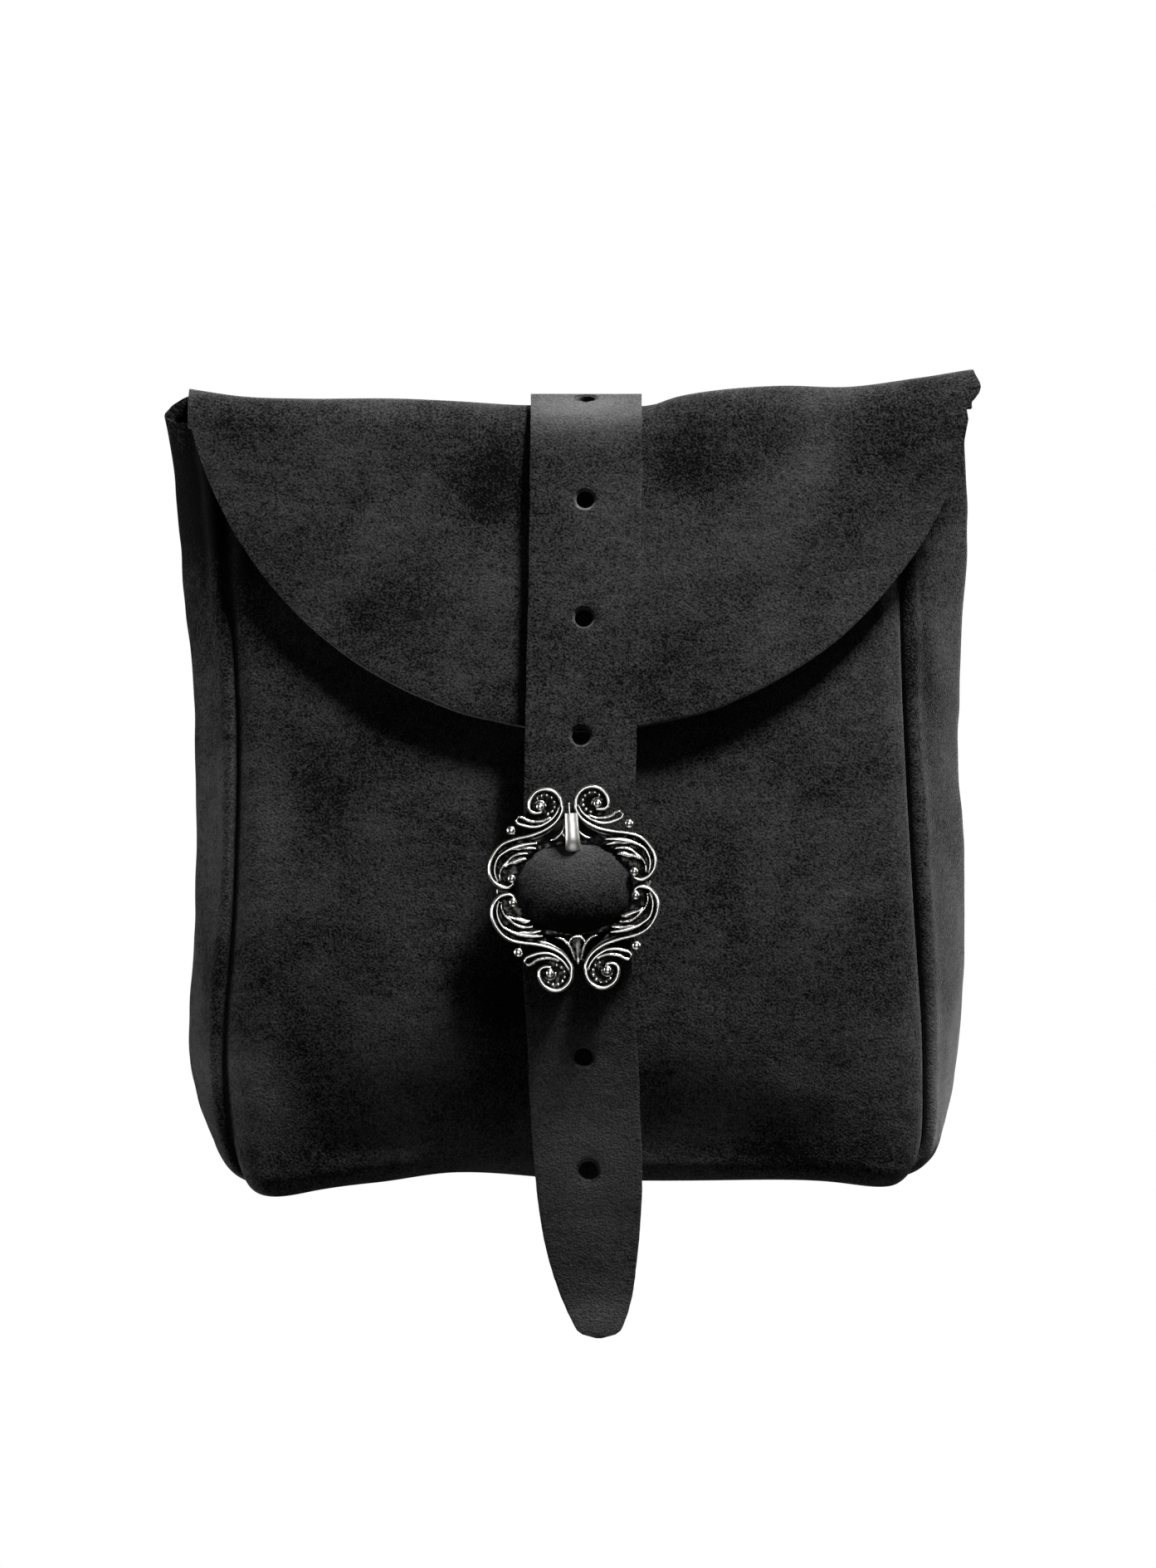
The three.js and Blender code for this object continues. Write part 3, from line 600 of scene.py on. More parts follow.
INNER_FORK = ((14.9, 5.3), (13.6, 6.05), (12.5, 6.35), (11.55, 6.65), (10.6, 6.8), (9.9, 6.7))
SPUR_LOW = (
    (2.1, 17.9), (2.75, 16.5), (3.9, 15.2), (5.25, 14.35), (6.7, 13.8), (8.55, 13.75), (10, 14.1),
    (11.45, 14.7), (11.85, 15.55),
)  # fmt: skip
SPUR_HIGH = ((4.25, 15.6), (5.95, 14.85), (7.75, 14.85), (9.2, 15.2), (10.45, 15.95), (11.35, 16.1))
FAN_SIDE = ((0.7, 15.6), (1.1, 14.1), (1.65, 12.6), (2.5, 11.5), (3.5, 10.8), (4.6, 10.6))
FAN_ARCH = ((1.7, 12), (1.45, 11.3), (0.9, 10.75), (0, 10.55))
FAN_PETAL = ((0, 11), (0, 13.5), (0, 16.4))
SCROLL_SHADE = ((12.6, 10.5), (9.8, 10.9), (7, 11.5), (4.4, 12.8), (2.6, 14.4), (1.4, 16.2))
RIDGES = (  # the line that a ridge follows, its half width along the way, its height over that line
    (OUTER_LOBE, (0.22, 0.3, 0.35, 0.62, 0.2), 1.15),
    (OUTER_FORK, (0.15, 0.5, 0.5, 0.4, 0.15), 1.0),
    (INNER_LOBE, (0.2, 0.25, 0.35, 0.4, 0.18), 1.05),
    (INNER_FORK, (0.25, 0.35, 0.65, 0.6, 0.15), 1.05),
    (SPUR_LOW, (0.25, 0.35, 0.4, 0.4, 0.3), 1.15),
    (SPUR_HIGH, (0.3, 0.4, 0.4, 0.4, 0.3), 1.05),
    (FAN_SIDE, (0.15, 0.22, 0.28, 0.35, 0.15), 0.85),
    (FAN_ARCH, (0.15, 0.25, 0.35, 0.4, 0.4), 0.8),
    (FAN_PETAL, (1.2, 1.0, 0.75, 0.5, 0.25), 0.5),
    (SCROLL_SHADE, (0.15, 0.22, 0.22, 0.2, 0.15), 0.55),
)
RIM_PLACES = (0, 0.05, 0.25, 0.42, 0.55, 0.75, 1)
RIM_HALF_WIDTHS = (0.35, 0.58, 0.42, 0.42, 0.5, 0.55, 0.45)
REEDS = (0.05, 1.35)  # two short upright bars between the upper volutes
BEAD_STEM = ((13, 13.25), (12.5, 12.4), (12, 11.2))
BEADS = (  # right, up, forward, radius
    (13.5, 2.6, 2.3, 1.05),
    (13, 13.25, 1.8, 1.1),
    (12.4, 12.4, 1.8, 0.3),
    (11.1, 12.5, 1.8, 0.32),
    (*VOLUTE_BEAD, 2.2, 1),
)


def laid_bar(shape, line, half_width, half_height, sides, rings):
    """A closed bar along a line: a ball of rings whose poles end it, laid on the line ring by ring."""
    made = bmesh.ops.create_uvsphere(shape, u_segments=sides, v_segments=rings, radius=1)["verts"]
    ball = np.array([vertex.co for vertex in made])
    ring = np.round((1 - np.arccos(np.clip(ball[:, 2], -1, 1)) / np.pi) * rings)
    t = np.clip((ring - 1) / (rings - 2), 0, 1)
    turn = np.arctan2(ball[:, 1], ball[:, 0])
    round_off = np.where((ring == 0) | (ring == rings), 0, 1)
    step = 0.004
    point = line(t)
    tangent = line(np.minimum(t + step, 1)) - line(np.maximum(t - step, 0))
    tangent /= np.linalg.norm(tangent, axis=1, keepdims=True)
    side = np.cross(tangent, (0, -1, 0))
    side /= np.linalg.norm(side, axis=1, keepdims=True)
    front = np.cross(side, tangent)
    point = point + side * (np.cos(turn) * half_width(t) * round_off)[:, None]
    point = point + front * (np.sin(turn) * half_height(t) * round_off)[:, None]
    for vertex, place in zip(made, point):
        vertex.co = place


def rod(shape, radius, length, sides, place):
    """A round bar with flat ends, set by a matrix from standing on end."""
    bmesh.ops.create_cone(
        shape, cap_ends=True, segments=sides, radius1=radius, radius2=radius, depth=length, matrix=place
    )


def drawn(points, depth=-RIDGE_LINE):
    """A line through points right and up of the buckle's middle, evenly paced from 0 to 1."""
    fine = through([(u, depth, v) for u, v in points], np.linspace(0, len(points) - 1, 200))
    gone = np.concatenate([[0], np.cumsum(np.linalg.norm(np.diff(fine, axis=0), axis=1))])
    return lambda t: np.stack([np.interp(t * gone[-1], gone, fine[:, k]) for k in range(3)], axis=1)


def same(value):
    """A half width that stays the same along a bar."""
    return lambda t: np.full_like(t, value)


def varied(values, places=None, factor=1):
    """A half width that goes through values along a bar, evenly spaced where no places are given."""
    places = np.linspace(0, 1, len(values)) if places is None else places
    return lambda t: factor * np.interp(t, places, values)


casting = bmesh.new()
spiral = []
for t in np.linspace(0, 1, 26)[1:]:
    angle = np.radians(VOLUTE_START - VOLUTE_SWEEP * t)
    reach = VOLUTE_RADIUS - VOLUTE_TIGHTENS * ease(t, 0.8, 1)
    spiral.append((VOLUTE[0] + reach * np.cos(angle), VOLUTE[1] + reach * np.sin(angle)))
outline = drawn(SCROLL + tuple(spiral))
laid_bar(casting, outline, varied(RIM_HALF_WIDTHS, RIM_PLACES), same(RIM_HEIGHT), 12, 140)
for points, widths, height in RIDGES:
    laid_bar(casting, drawn(points), varied(widths, factor=RIDGE_WIDEN), same(height), 10, 50)
collar = [
    (VOLUTE_BEAD[0] + COLLAR_RADIUS * np.cos(angle), VOLUTE_BEAD[1] + COLLAR_RADIUS * np.sin(angle))
    for angle in np.radians(np.linspace(20, 190, 12))
]
laid_bar(casting, drawn(collar), same(0.16), same(0.6), 8, 24)
laid_bar(casting, drawn(BEAD_STEM, -0.8), same(0.35), same(0.5), 10, 12)
for u, v, forward, radius in BEADS:
    bead = Matrix.Translation((u, -forward, v))
    bmesh.ops.create_icosphere(casting, subdivisions=3, radius=radius, matrix=bead)
plate_edge = WINDOW_EDGE + ((17.2, -0.3),) + SCROLL[3:] + ((-0.4, 17),)
plate = bmesh.ops.contextual_create(casting, geom=[casting.verts.new((u, 0, v)) for u, v in plate_edge])
raised = bmesh.ops.extrude_face_region(casting, geom=plate["faces"], use_keep_orig=True)
raised = [part for part in raised["geom"] if isinstance(part, bmesh.types.BMVert)]
bmesh.ops.translate(casting, verts=raised, vec=(0, -PLATE, 0))
disc = Matrix.Translation((VOLUTE[0], -PLATE / 2, VOLUTE[1])) @ Matrix.Rotation(np.pi / 2, 4, "X")
rod(casting, VOLUTE_DISC, PLATE, 32, disc)
for flip in ((-1, 1, 1), (1, 1, -LOWER_STRETCH)):
    copied = bmesh.ops.duplicate(casting, geom=casting.verts[:] + casting.edges[:] + casting.faces[:])
    copied = [part for part in copied["geom"] if isinstance(part, bmesh.types.BMVert)]
    bmesh.ops.scale(casting, verts=copied, vec=flip)
for reed in REEDS:
    laid_bar(casting, drawn(((reed, 16), (reed, 17.4), (reed, 18.7))), same(0.28), same(0.8), 10, 16)
across = Matrix.Translation((0, BAR_Y, 0)) @ Matrix.Rotation(np.pi / 2, 4, "Y")
rod(casting, BAR_RADIUS, 2 * BAR_HALF, 20, across)
for side in (-1, 1):
    post = Matrix.Translation((side * (BAR_HALF - 0.4), (BAR_Y + BAR_RADIUS - POST_TOP) / 2, 0))
    post = post @ Matrix.Rotation(np.pi / 2, 4, "X")
    rod(casting, POST_RADIUS, BAR_Y + BAR_RADIUS + POST_TOP, 20, post)
bmesh.ops.recalc_face_normals(casting, faces=casting.faces[:])
buckle_frame = add_piece("buckle_frame", casting)


def keep_modifiers(piece):
    """Makes what the piece's modifiers give its own mesh."""
    shown = piece.evaluated_get(bpy.context.evaluated_depsgraph_get())
    mesh = bpy.data.meshes.new_from_object(shown)
    piece.modifiers.clear()
    piece.data = mesh


# The grain of the pour is as fine as the limit on triangles allows
POUR_GRAIN = 0.208
pour = buckle_frame.modifiers.new("poured_as_one", "REMESH")
pour.mode = "VOXEL"
pour.voxel_size = POUR_GRAIN
soften = buckle_frame.modifiers.new("worn", "SMOOTH")
soften.factor = 0.5
soften.iterations = 1
keep_modifiers(buckle_frame)

# Specks that come loose in the pour are cut off. Seed beads sit in each volute, between its rim and its
# bead, too small to be poured with the rest.
SPECK = 100
SEED_RADIUS = 0.46
SEED_RING = 2.2
SEED_CENTRE = (VOLUTE[0] + 0.1, VOLUTE[1] + 0.2)
poured = bmesh.new()
poured.from_mesh(buckle_frame.data)
unseen = set(poured.verts)
while unseen:
    island = [unseen.pop()]
    for vertex in island:
        near = [edge.other_vert(vertex) for edge in vertex.link_edges]
        near = [other for other in near if other in unseen]
        unseen.difference_update(near)
        island.extend(near)
    if len(island) < SPECK:
        bmesh.ops.delete(poured, geom=island, context="VERTS")
for flip_x in (1, -1):
    for flip_z in (1, -LOWER_STRETCH):
        for angle in np.radians(np.linspace(43, 257, 8)):
            u = SEED_CENTRE[0] + SEED_RING * np.cos(angle)
            v = SEED_CENTRE[1] + SEED_RING * np.sin(angle)
            seed = Matrix.Translation((flip_x * u, -PLATE - 0.35, flip_z * v))
            bmesh.ops.create_icosphere(poured, subdivisions=2, radius=SEED_RADIUS, matrix=seed)
for cell in poured.faces:
    cell.smooth = True
poured.to_mesh(buckle_frame.data)
poured.free()

# The patina is wiped off what stands out, so each point keeps how far it stands above what is around it
AROUND = 14
WIPED = (0.02, 0.2)
points = np.array([vertex.co for vertex in buckle_frame.data.vertices])
ends = np.array([edge.vertices[:] for edge in buckle_frame.data.edges])
outward = np.array([vertex.normal for vertex in buckle_frame.data.vertices])
met = np.bincount(ends.ravel(), minlength=len(points))[:, None]
around = points
for step in range(AROUND):
    total = np.zeros_like(points)
    np.add.at(total, ends[:, 0], around[ends[:, 1]])
    np.add.at(total, ends[:, 1], around[ends[:, 0]])
    around = total / met
stands_out = np.sum((points - around) * outward, axis=1)
worn = ease(stands_out, *WIPED) * ease(-points[:, 1], PLATE, PLATE + 0.6)
worn_share = buckle_frame.data.attributes.new("worn", "FLOAT", "POINT")
worn_share.data.foreach_set("value", worn.astype(np.float32))

# Antique silver is plated white metal, dipped black and rubbed back: bright on the ridges, sooty between
# them, with small scuffs that spread its shine.
SCUFF_SIZE = 1.4


def antique_silver(name, low, polish):
    """low is the wear at which the patina begins to clear, polish the roughness of the bright metal."""
    material = bpy.data.materials.new(name)
    material.use_nodes = True
    tree = material.node_tree
    tree.nodes.clear()
    place = node(tree, "TexCoord").outputs["Object"]
    scuffs = node(
        tree,
        "TexNoise",
        {"Vector": place, "Scale": 1 / (SCUFF_SIZE * MM), "Detail": 4, "Roughness": 0.65},
    ).outputs["Fac"]
    worn = node(tree, "Attribute", attribute_name="worn").outputs["Fac"]
    worn = node(tree, "Math", {0: scuffs, 1: 0.5, 2: worn}, operation="MULTIPLY_ADD")
    bright = node(tree, "MapRange", {"Value": worn.outputs[0], "From Min": low, "From Max": 0.95})
    colour = node(
        tree,
        "Mix",
        {"Factor": bright.outputs["Result"], 6: linear("#0c0c0c"), 7: linear("#dcdbd8")},
        data_type="RGBA",
    )
    dull = node(tree, "MapRange", {"Value": bright.outputs["Result"], "To Min": 0.55, "To Max": polish})
    dents = node(tree, "Bump", {"Height": scuffs, "Strength": 0.25, "Distance": 0.12 * MM})
    shader = node(
        tree,
        "BsdfPrincipled",
        {
            "Base Color": colour.outputs[2],
            "Roughness": dull.outputs["Result"],
            "Normal": dents.outputs["Normal"],
            "Metallic": 1,
        },
    )
    node(tree, "OutputMaterial", {"Surface": shader.outputs["BSDF"]})
    return material


set_on_bag = (
    Matrix.Translation(Vector(BUCKLE_PLACE) * MM)
    @ Matrix.Rotation(np.radians(BUCKLE_LEAN), 4, "X")
    @ Matrix.Rotation(np.radians(BUCKLE_ROLL), 4, "Y")
    @ Matrix.Scale(MM, 4)
)
buckle_frame.data.transform(set_on_bag)
buckle_frame.data.materials.append(antique_silver("antique_silver", 0.25, 0.24))
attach(buckle_frame, "root")
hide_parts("buckle_frame")

# Buckle tongue
# A tapered prong of the same metal, rolled from sheet round the bar. It comes up through a hole of the
# strap and its square tip rests on the fan at the top of the frame.
TONGUE_X = 0.4
PRONG = (  # back from the frame, up
    (4.6, 1.6), (3.6, 4), (2.4, 5.8), (0.8, 7), (-0.9, 7.75), (-2.5, 8.7), (-3.55, 10), (-3.9, 11.7),
    (-4.05, 16.1),
)  # fmt: skip
PRONG_STEPS = 200
PRONG_PLACES = (0, 0.6, 1)
PRONG_HALF_WIDTHS = (1.8, 1.75, 1.42)
PRONG_HALF_HEIGHT = 1.05
PRONG_THINS = 0.1
RING = ((-1.8, 1.4), (1.8, 1.4), (1.8, 2.4), (-1.8, 2.4))  # along the bar, out from its middle
CRISP_ANGLE = 0.7
TONGUE_WEAR = 0.62
prong = bmesh.new()
prong_fine = through([(TONGUE_X, y, z) for y, z in PRONG], np.linspace(0, len(PRONG) - 1, PRONG_STEPS))


def prong_line(t):
    steps = np.arange(PRONG_STEPS)
    return np.stack([np.interp(t * steps[-1], steps, prong_fine[:, k]) for k in range(3)], axis=1)


def prong_half_height(t):
    return PRONG_HALF_HEIGHT - PRONG_THINS * t


laid_bar(prong, prong_line, varied(PRONG_HALF_WIDTHS, PRONG_PLACES), prong_half_height, 24, 50)
corners = [prong.verts.new((TONGUE_X + x, BAR_Y + r, 0)) for x, r in RING]
loop = [prong.edges.new((corners[k - 1], corners[k])) for k in range(4)]
bmesh.ops.spin(
    prong,
    geom=corners + loop,
    cent=(0, BAR_Y, 0),
    axis=(1, 0, 0),
    angle=2 * np.pi,
    steps=28,
    use_merge=True,
)
bmesh.ops.recalc_face_normals(prong, faces=prong.faces[:])
for cell in prong.faces:
    cell.smooth = True
for edge in prong.edges:
    edge.smooth = len(edge.link_faces) == 2 and edge.calc_face_angle(0) < CRISP_ANGLE
buckle_tongue = add_piece("buckle_tongue", prong)
buckle_tongue.data.transform(set_on_bag)
worn_share = buckle_tongue.data.attributes.new("worn", "FLOAT", "POINT")
worn_share.data.foreach_set("value", np.full(len(worn_share.data), TONGUE_WEAR, np.float32))
buckle_tongue.data.materials.append(antique_silver("rubbed_silver", 0.2, 0.42))
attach(buckle_tongue, "root")
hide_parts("buckle_tongue")

# Buckle chape
# A strip of suede folded round the bar behind the strap, slotted for the tongue, its doubled tail sewn to
# the front panel. It is what holds the buckle to the bag.
CHAPE_WALL = 0.8
CHAPE_WIDTH = 16
CHAPE_BEND = 2.5
SLOT_HALF_WIDTH = 2.3
SLOT_BOTTOM = -3.4
CHAPE_PATH = (  # back from the frame, up
    [(5.4, -18), (5.7, -12), (6.1, -7), (6.8, -3)]
    + [(BAR_Y + CHAPE_BEND * np.cos(a), CHAPE_BEND * np.sin(a)) for a in np.linspace(0, np.pi, 9)]
    + [(2.6, -3), (3.7, -7), (3.7, -12), (3.7, -18)]
)


def chape_face(s, t):
    line = through([(0, y, z) for y, z in CHAPE_PATH], (len(CHAPE_PATH) - 1) * t)
    line[:, 0] = CHAPE_WIDTH / 2 - CHAPE_WIDTH * s
    return line


buckle_chape = leather_sheet("buckle_chape", 28, 64, chape_face)
slot = bmesh.new()
slot.from_mesh(buckle_chape.data)
gone = [f for f in slot.faces if abs(f.calc_center_median().x - TONGUE_X * MM) < SLOT_HALF_WIDTH * MM]
gone = [f for f in gone if f.calc_center_median().z > SLOT_BOTTOM * MM]
bmesh.ops.delete(slot, geom=gone, context="FACES")
slot.to_mesh(buckle_chape.data)
slot.free()
buckle_chape.data.transform(set_on_bag @ Matrix.Scale(1 / MM, 4))
paint_nap_light_and_shade(buckle_chape, ())
give_wall(buckle_chape, CHAPE_WALL, black_suede, cut_edge)
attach(buckle_chape, "root")
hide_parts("buckle_chape")

# Strap
# A 25 mm strap of firmer suede with a rounded end and eight punched holes. It runs from its tip up through
# the buckle, over the top fold and down the back, where its tail is sewn above and below the belt passage.
STRAP_WALL = 2.2
FIT = 0.3
BULGE = 5.2
BULGE_HALF_WIDTH = 13.2
BULGE_HALF_HEIGHT = 10.4
STRAP_LIFT = 0.6
STRAP_EDGE_WAVES = (0.14, 9, 8)  # depth, length, seed
STRAP_EDGE_NICKS = (0.1, 1.7, 11)
STRAP_WAVES = (0.25, 14, 9)
HOLE_RADIUS = 2
HOLE_FLARE = 0.7
HOLE_HEIGHTS = (50.7, 27.4, 0.9, -25.4, -50.4, -74, -96.3, -121.3)
TONGUE_HOLE = HOLE_HEIGHTS[4]
TONGUE_HOLE_RADIUS = 1.75
TONGUE_HOLE_SHIFT = (-0.95, 0, 1.25)
OPEN_HOLES = ((0.9, 27.4), (0.6, 0.9), (0, -25.4), (0.5, -96.3), (1.7, -121.3))
HOLE_SINK = (3, 3, 0.4)  # half width, half height, depth
PUNCH_IN = -4.4
PUNCH_OUT = 6
FLARE_IN = -0.6
FLARE_OUT = 0.3
HOLE_RIMS = [(x, z, *HOLE_SINK) for x, z in OPEN_HOLES]
STRAP_FRONT = (  # x, y, z, half width
    (4, -37.6, -158.7, 0.6),
    (4, -37.7, -157.6, 4.3),
    (3.8, -38, -153.7, 6.3),
    (3.3, -38.4, -148, 8.3),
    (2.7, -38.9, -142, 9.6),
    (2.2, -39.9, -134, 10.9),
    (1.7, -41.6, -122, 11.9),
    (0.9, -43.5, -107, 12.1),
    (0.4, -45, -95, 12.1),
    (-0.4, -46, -82, 12),
    (-1.1, -45.3, -71, 12.1),
    (-1.6, -44.5, -59.7, 13.1),
    (-1, -43.8, -49, 12.1),
    (-0.3, -43, -38, 12.2),
    (0, -40.1, -24, 12.3),
    (0.6, -34.5, 0, 12.4),
    (0.9, -29.3, 22.6, 12.4),
)
STRAP_X = 1.2
STRAP_HALF = 12.4
STRAP_BACK = (  # y, z
    (-1, 37), (-1, 31), (1.6, 26), (5.7, 20), (5.7, 0), (5.7, -20), (1.6, -26), (-1, -31), (-1, -41),
)  # fmt: skip
over_fold = [
    (
        STRAP_X,
        BACK_FACE - FOLD_RADIUS + (FOLD_RADIUS + FIT + STRAP_WALL) * np.cos(np.radians(turn)),
        FOLD_HEIGHT + (FOLD_RADIUS + FIT + STRAP_WALL) * np.sin(np.radians(turn)),
        STRAP_HALF,
    )
    for turn in (167, 140, 110, 80, 50, 20)
]
strap_rows = list(STRAP_FRONT) + over_fold + [(STRAP_X, y, z, STRAP_HALF) for y, z in STRAP_BACK]
strap_line = [row[:3] for row in strap_rows]
strap_half = column([(i, row[3]) for i, row in enumerate(strap_rows)])
strap_places = np.linspace(0, len(strap_rows) - 1, 3000)
strap_fine = through(strap_line, strap_places)
strap_gone = np.concatenate([[0], np.cumsum(np.linalg.norm(np.diff(strap_fine, axis=0), axis=1))])


def strap_face(s, t):
    at = np.interp(t * strap_gone[-1], strap_gone, strap_places)
    in_front = at < len(STRAP_FRONT)
    point = through(strap_line, at)
    lengthwise = point * (0, 1, 1)
    half = strap_half(at) + uneven(lengthwise, *STRAP_EDGE_WAVES) + uneven(lengthwise, *STRAP_EDGE_NICKS)
    point[:, 0] += half * (2 * s - 1)
    right = point[:, 0] - BUCKLE_PLACE[0]
    up = point[:, 2] - BUCKLE_PLACE[2]
    roll = np.radians(BUCKLE_ROLL)
    along = (np.abs(right * np.cos(roll) - up * np.sin(roll)) / BULGE_HALF_WIDTH) ** 2.2
    along += (np.abs(right * np.sin(roll) + up * np.cos(roll)) / BULGE_HALF_HEIGHT) ** 2.2
    within = np.where(in_front, np.maximum(1 - along, 0), 0)
    point[:, 1] -= BULGE * within**0.4
    point[:, 1] += uneven(point, *STRAP_WAVES) * ease(point[:, 2], -150, -130) * (within == 0)
    point[:, 1] += spots(point[:, 0], point[:, 2], HOLE_RIMS) * in_front
    point[:, 1] -= STRAP_LIFT * ease(point[:, 2], -20, 0) * (1 - ease(point[:, 2], 22, 36)) * in_front
    return point


black_strap = suede("black_strap_suede", "#080808", "#393939", 0.9)
# Mostly painted light and shade: painted light on the tip, a painted highlight on the top of the fold,
# painted light on the upper half of the bulge in the buckle's window and painted shade on its lower half,
# and the buckle's painted shadow below it. The strap is also lighter towards its lower end.
STRAP_NAP_LIGHT_AND_SHADE = (  # x, z, half width, half height, lighter or darker
    (4, -154, 12, 5, 4.2),
    (2, -120, 20, 26, 3.4),
    (1, 48, 18, 5, 4.8),
    (0, -30, 14, 14, -0.3),
    (-1.6, -54, 13, 6, 1.7),
    (-1.6, -68, 13, 4.5, -2.2),
    (1, -82, 14, 5, -0.6),
)
strap = leather_sheet("strap", 26, 380, strap_face)
paint_nap_light_and_shade(strap, STRAP_NAP_LIGHT_AND_SHADE, -12)
give_wall(strap, STRAP_WALL, black_strap, cut_edge)
punch = bmesh.new()
front_part = strap_fine[: np.argmax(strap_fine[:, 2]), 2]
for height in HOLE_HEIGHTS:
    k = int(np.argmin(np.abs(front_part - height)))
    along = Vector(strap_fine[k + 3] - strap_fine[k - 3]).normalized()
    centre = Vector(strap_face(np.array([0.5]), strap_gone[[k]] / strap_gone[-1])[0])
    radius = HOLE_RADIUS
    wide = HOLE_RADIUS + HOLE_FLARE
    if height == TONGUE_HOLE:
        centre += Vector(TONGUE_HOLE_SHIFT)
        radius = wide = TONGUE_HOLE_RADIUS
    turn = Vector((0, 0, 1)).rotation_difference(Vector((1, 0, 0)).cross(along)).to_matrix().to_4x4()
    profile = [(0, PUNCH_IN), (radius, PUNCH_IN), (radius, FLARE_IN)]
    profile += [(wide, FLARE_OUT), (wide, PUNCH_OUT), (0, PUNCH_OUT)]
    drill = [punch.verts.new(Matrix.Translation(centre) @ turn @ Vector((r, 0, z))) for r, z in profile]
    bmesh.ops.spin(
        punch,
        geom=drill + [punch.edges.new(pair) for pair in zip(drill, drill[1:])],
        cent=centre,
        axis=turn.to_3x3() @ Vector((0, 0, 1)),
        angle=2 * np.pi,
        steps=28,
        use_merge=True,
    )
bmesh.ops.remove_doubles(punch, verts=punch.verts[:], dist=1e-4)
bmesh.ops.recalc_face_normals(punch, faces=punch.faces[:])
bmesh.ops.scale(punch, verts=punch.verts[:], vec=(MM, MM, MM))
punches = add_piece("punch", punch)
holes = strap.modifiers.new("punched_holes", "BOOLEAN")
holes.object = punches
holes.solver = "EXACT"
keep_modifiers(strap)
bpy.data.objects.remove(punches)
crisp = bmesh.new()
crisp.from_mesh(strap.data)
for edge in crisp.edges:
    edge.smooth = edge.calc_face_angle(0) < CRISP_ANGLE
crisp.to_mesh(strap.data)
crisp.free()
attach(strap, "root")
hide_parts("strap")

# Tail stitching
# Two boxes of waxed black linen thread, sewn by hand through the strap's tail and the back panel. They
# hold the tail above and below the belt passage.
THREAD_RADIUS = 0.4
STITCH = 3.6
THREAD_SHOWS = (0.12, 0.88)  # from and to, as shares of a stitch
STITCH_LEFT = -9.4
STITCH_RIGHT = 11.8
STITCH_Y = -0.85
STITCH_BOXES = ((36.5, 31.6), (-31.6, -39.6))  # top, bottom
PLY_SIZE = 2.17
WAVE_LENGTH = np.pi / 10  # of the wave texture at a scale of 1


def sew(shape, corners, radius, pitch):
    """A closed row of stitches round the given corners, each a short round-ended bead of thread."""
    for start, end in zip(corners, corners[1:] + corners[:1]):
        count = max(round((Vector(end) - Vector(start)).length / pitch), 1)
        for k in range(count):
            first = Vector(start).lerp(Vector(end), (k + THREAD_SHOWS[0]) / count)
            last = Vector(start).lerp(Vector(end), (k + THREAD_SHOWS[1]) / count)
            way = last - first
            lie = Vector((0, 0, 1)).rotation_difference(way).to_matrix().to_4x4()
            size = Matrix.Diagonal((radius, radius, way.length / 2, 1))
            place = Matrix.Translation((first + last) / 2) @ lie @ size
            bmesh.ops.create_uvsphere(shape, u_segments=8, v_segments=6, radius=1, matrix=place)


stitching = bmesh.new()
for top, bottom in STITCH_BOXES:
    box = [(STITCH_LEFT, bottom), (STITCH_RIGHT, bottom), (STITCH_RIGHT, top), (STITCH_LEFT, top)]
    sew(stitching, [(x, STITCH_Y, z) for x, z in box], THREAD_RADIUS, STITCH)
bmesh.ops.scale(stitching, verts=stitching.verts[:], vec=(MM, MM, MM))
for cell in stitching.faces:
    cell.smooth = True
tail_stitching = add_piece("tail_stitching", stitching)

# Waxed linen thread is twisted and faintly shiny. Its slanting plies are drawn about 2 mm apart, coarser
# than real ones, so that they show.
waxed_thread = bpy.data.materials.new("waxed_thread")
waxed_thread.use_nodes = True
tree = waxed_thread.node_tree
tree.nodes.clear()
place = node(tree, "TexCoord").outputs["Object"]
lay = node(tree, "Mapping", {"Vector": place, "Rotation": (0, 0.7, 0)})
plies = node(
    tree,
    "TexWave",
    {"Vector": lay.outputs["Vector"], "Scale": WAVE_LENGTH / (PLY_SIZE * MM), "Distortion": 1.5},
)
colour = node(
    tree,
    "Mix",
    {"Factor": plies.outputs["Fac"], 6: linear("#101010"), 7: linear("#2e2e2e")},
    data_type="RGBA",
)
twist = node(tree, "Bump", {"Height": plies.outputs["Fac"], "Strength": 0.5, "Distance": 0.1 * MM})
shader = node(
    tree,
    "BsdfPrincipled",
    {"Base Color": colour.outputs[2], "Roughness": 0.5, "Normal": twist.outputs["Normal"]},
)
node(tree, "OutputMaterial", {"Surface": shader.outputs["BSDF"]})
tail_stitching.data.materials.append(waxed_thread)
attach(tail_stitching, "root")

# Floor, light and camera
# A pale floor well below the hanging bag, a soft key light high on the right that throws the flap's and
# the buckle's shadows down to the left, weaker light from all round, a white card that only the metal
# mirrors, and a camera straight in front with a long lens.
FLOOR_HALF = 2
FLOOR_PLACE = (0, -1.28, -0.3)
FLOOR_COLOUR = linear("#e9e8e6")
floor_shape = bmesh.new()
bmesh.ops.create_grid(floor_shape, x_segments=4, y_segments=4, size=FLOOR_HALF)
bmesh.ops.translate(floor_shape, verts=floor_shape.verts[:], vec=FLOOR_PLACE)
floor = add_piece("floor", floor_shape)

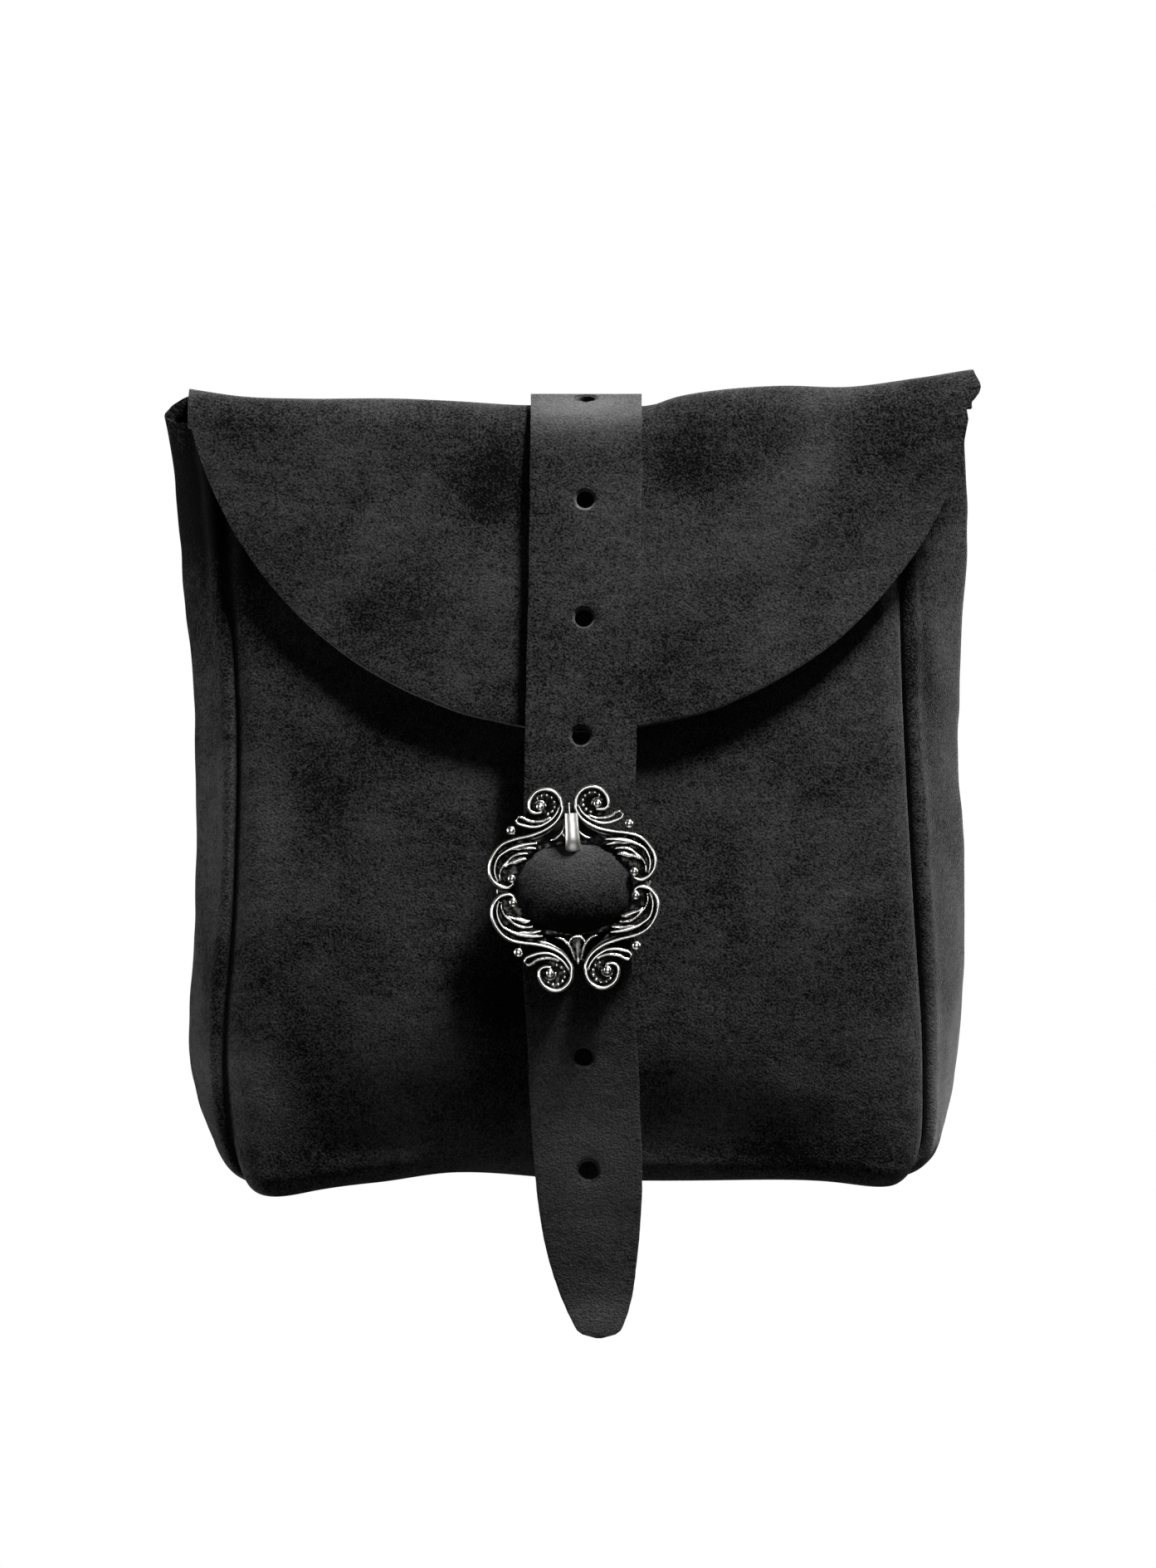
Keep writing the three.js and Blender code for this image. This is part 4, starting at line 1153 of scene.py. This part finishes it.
# The paint glows a little, so that the floor stays pale far from the lights, and it doesn't light the bag
paint = bpy.data.materials.new("pale_floor_paint")
paint.use_nodes = True
pale = paint.node_tree.nodes["Principled BSDF"]
pale.inputs["Base Color"].default_value = FLOOR_COLOUR
pale.inputs["Roughness"].default_value = 0.9
pale.inputs["Emission Color"].default_value = FLOOR_COLOUR
pale.inputs["Emission Strength"].default_value = 0.7
floor.data.materials.append(paint)
floor.visible_diffuse = False
floor.visible_glossy = False
floor.visible_shadow = False

MIDDLE = Vector((0, -0.03, -0.04))
LIGHTS = (  # name, place from the middle, width, watts
    ("key", (0.48, -0.3, 1.2), 0.27, 48),
    ("fill", (-0.3, -1.4, 0.4), 1.4, 0.08),
    ("left", (-1.2, 0.12, 0.1), 0.6, 16),
    ("right", (1.2, 0.1, 0.4), 0.6, 5.5),
    ("bounce", (0, -0.3, -1), 0.8, 2.4),
    ("card", (0.12, -1.3, 0.2), 0.8, 9),
    ("back", (0, 1.3, 0.55), 0.8, 25),
)
for name, place, width, watts in LIGHTS:
    lamp = bpy.data.lights.new(name, "AREA")
    lamp.size = width
    lamp.energy = watts
    light = bpy.data.objects.new(name, lamp)
    light.location = MIDDLE + Vector(place)
    light.rotation_mode = "QUATERNION"
    light.rotation_quaternion = (-Vector(place)).to_track_quat("-Z", "Y")
    light.visible_camera = False
    light.visible_diffuse = name != "card"
    bpy.context.scene.collection.objects.link(light)

world = bpy.data.worlds.new("white_room")
world.use_nodes = True
tree = world.node_tree
tree.nodes.clear()
seen = node(tree, "LightPath").outputs["Is Camera Ray"]
white = node(tree, "Background", {"Color": (1, 1, 1, 1), "Strength": 1})
dim = node(tree, "Background", {"Color": (1, 1, 1, 1), "Strength": 0.01})
both = node(tree, "MixShader", {0: seen, 1: dim.outputs[0], 2: white.outputs[0]})
node(tree, "OutputWorld", {"Surface": both.outputs[0]})
bpy.context.scene.world = world
bpy.context.scene.view_settings.view_transform = "Standard"

FRAME_HEIGHT = 0.3498
FRAME_MIDDLE = (-0.00065, -0.025, -0.036)
DISTANCE = 1.6
lens = bpy.data.cameras.new("camera")
lens.sensor_width = 36
lens.lens = lens.sensor_width * DISTANCE / FRAME_HEIGHT
camera = bpy.data.objects.new("camera", lens)
camera.location = (FRAME_MIDDLE[0], FRAME_MIDDLE[1] - DISTANCE, FRAME_MIDDLE[2])
camera.rotation_euler = (np.pi / 2, 0, 0)
bpy.context.scene.collection.objects.link(camera)
bpy.context.scene.camera = camera
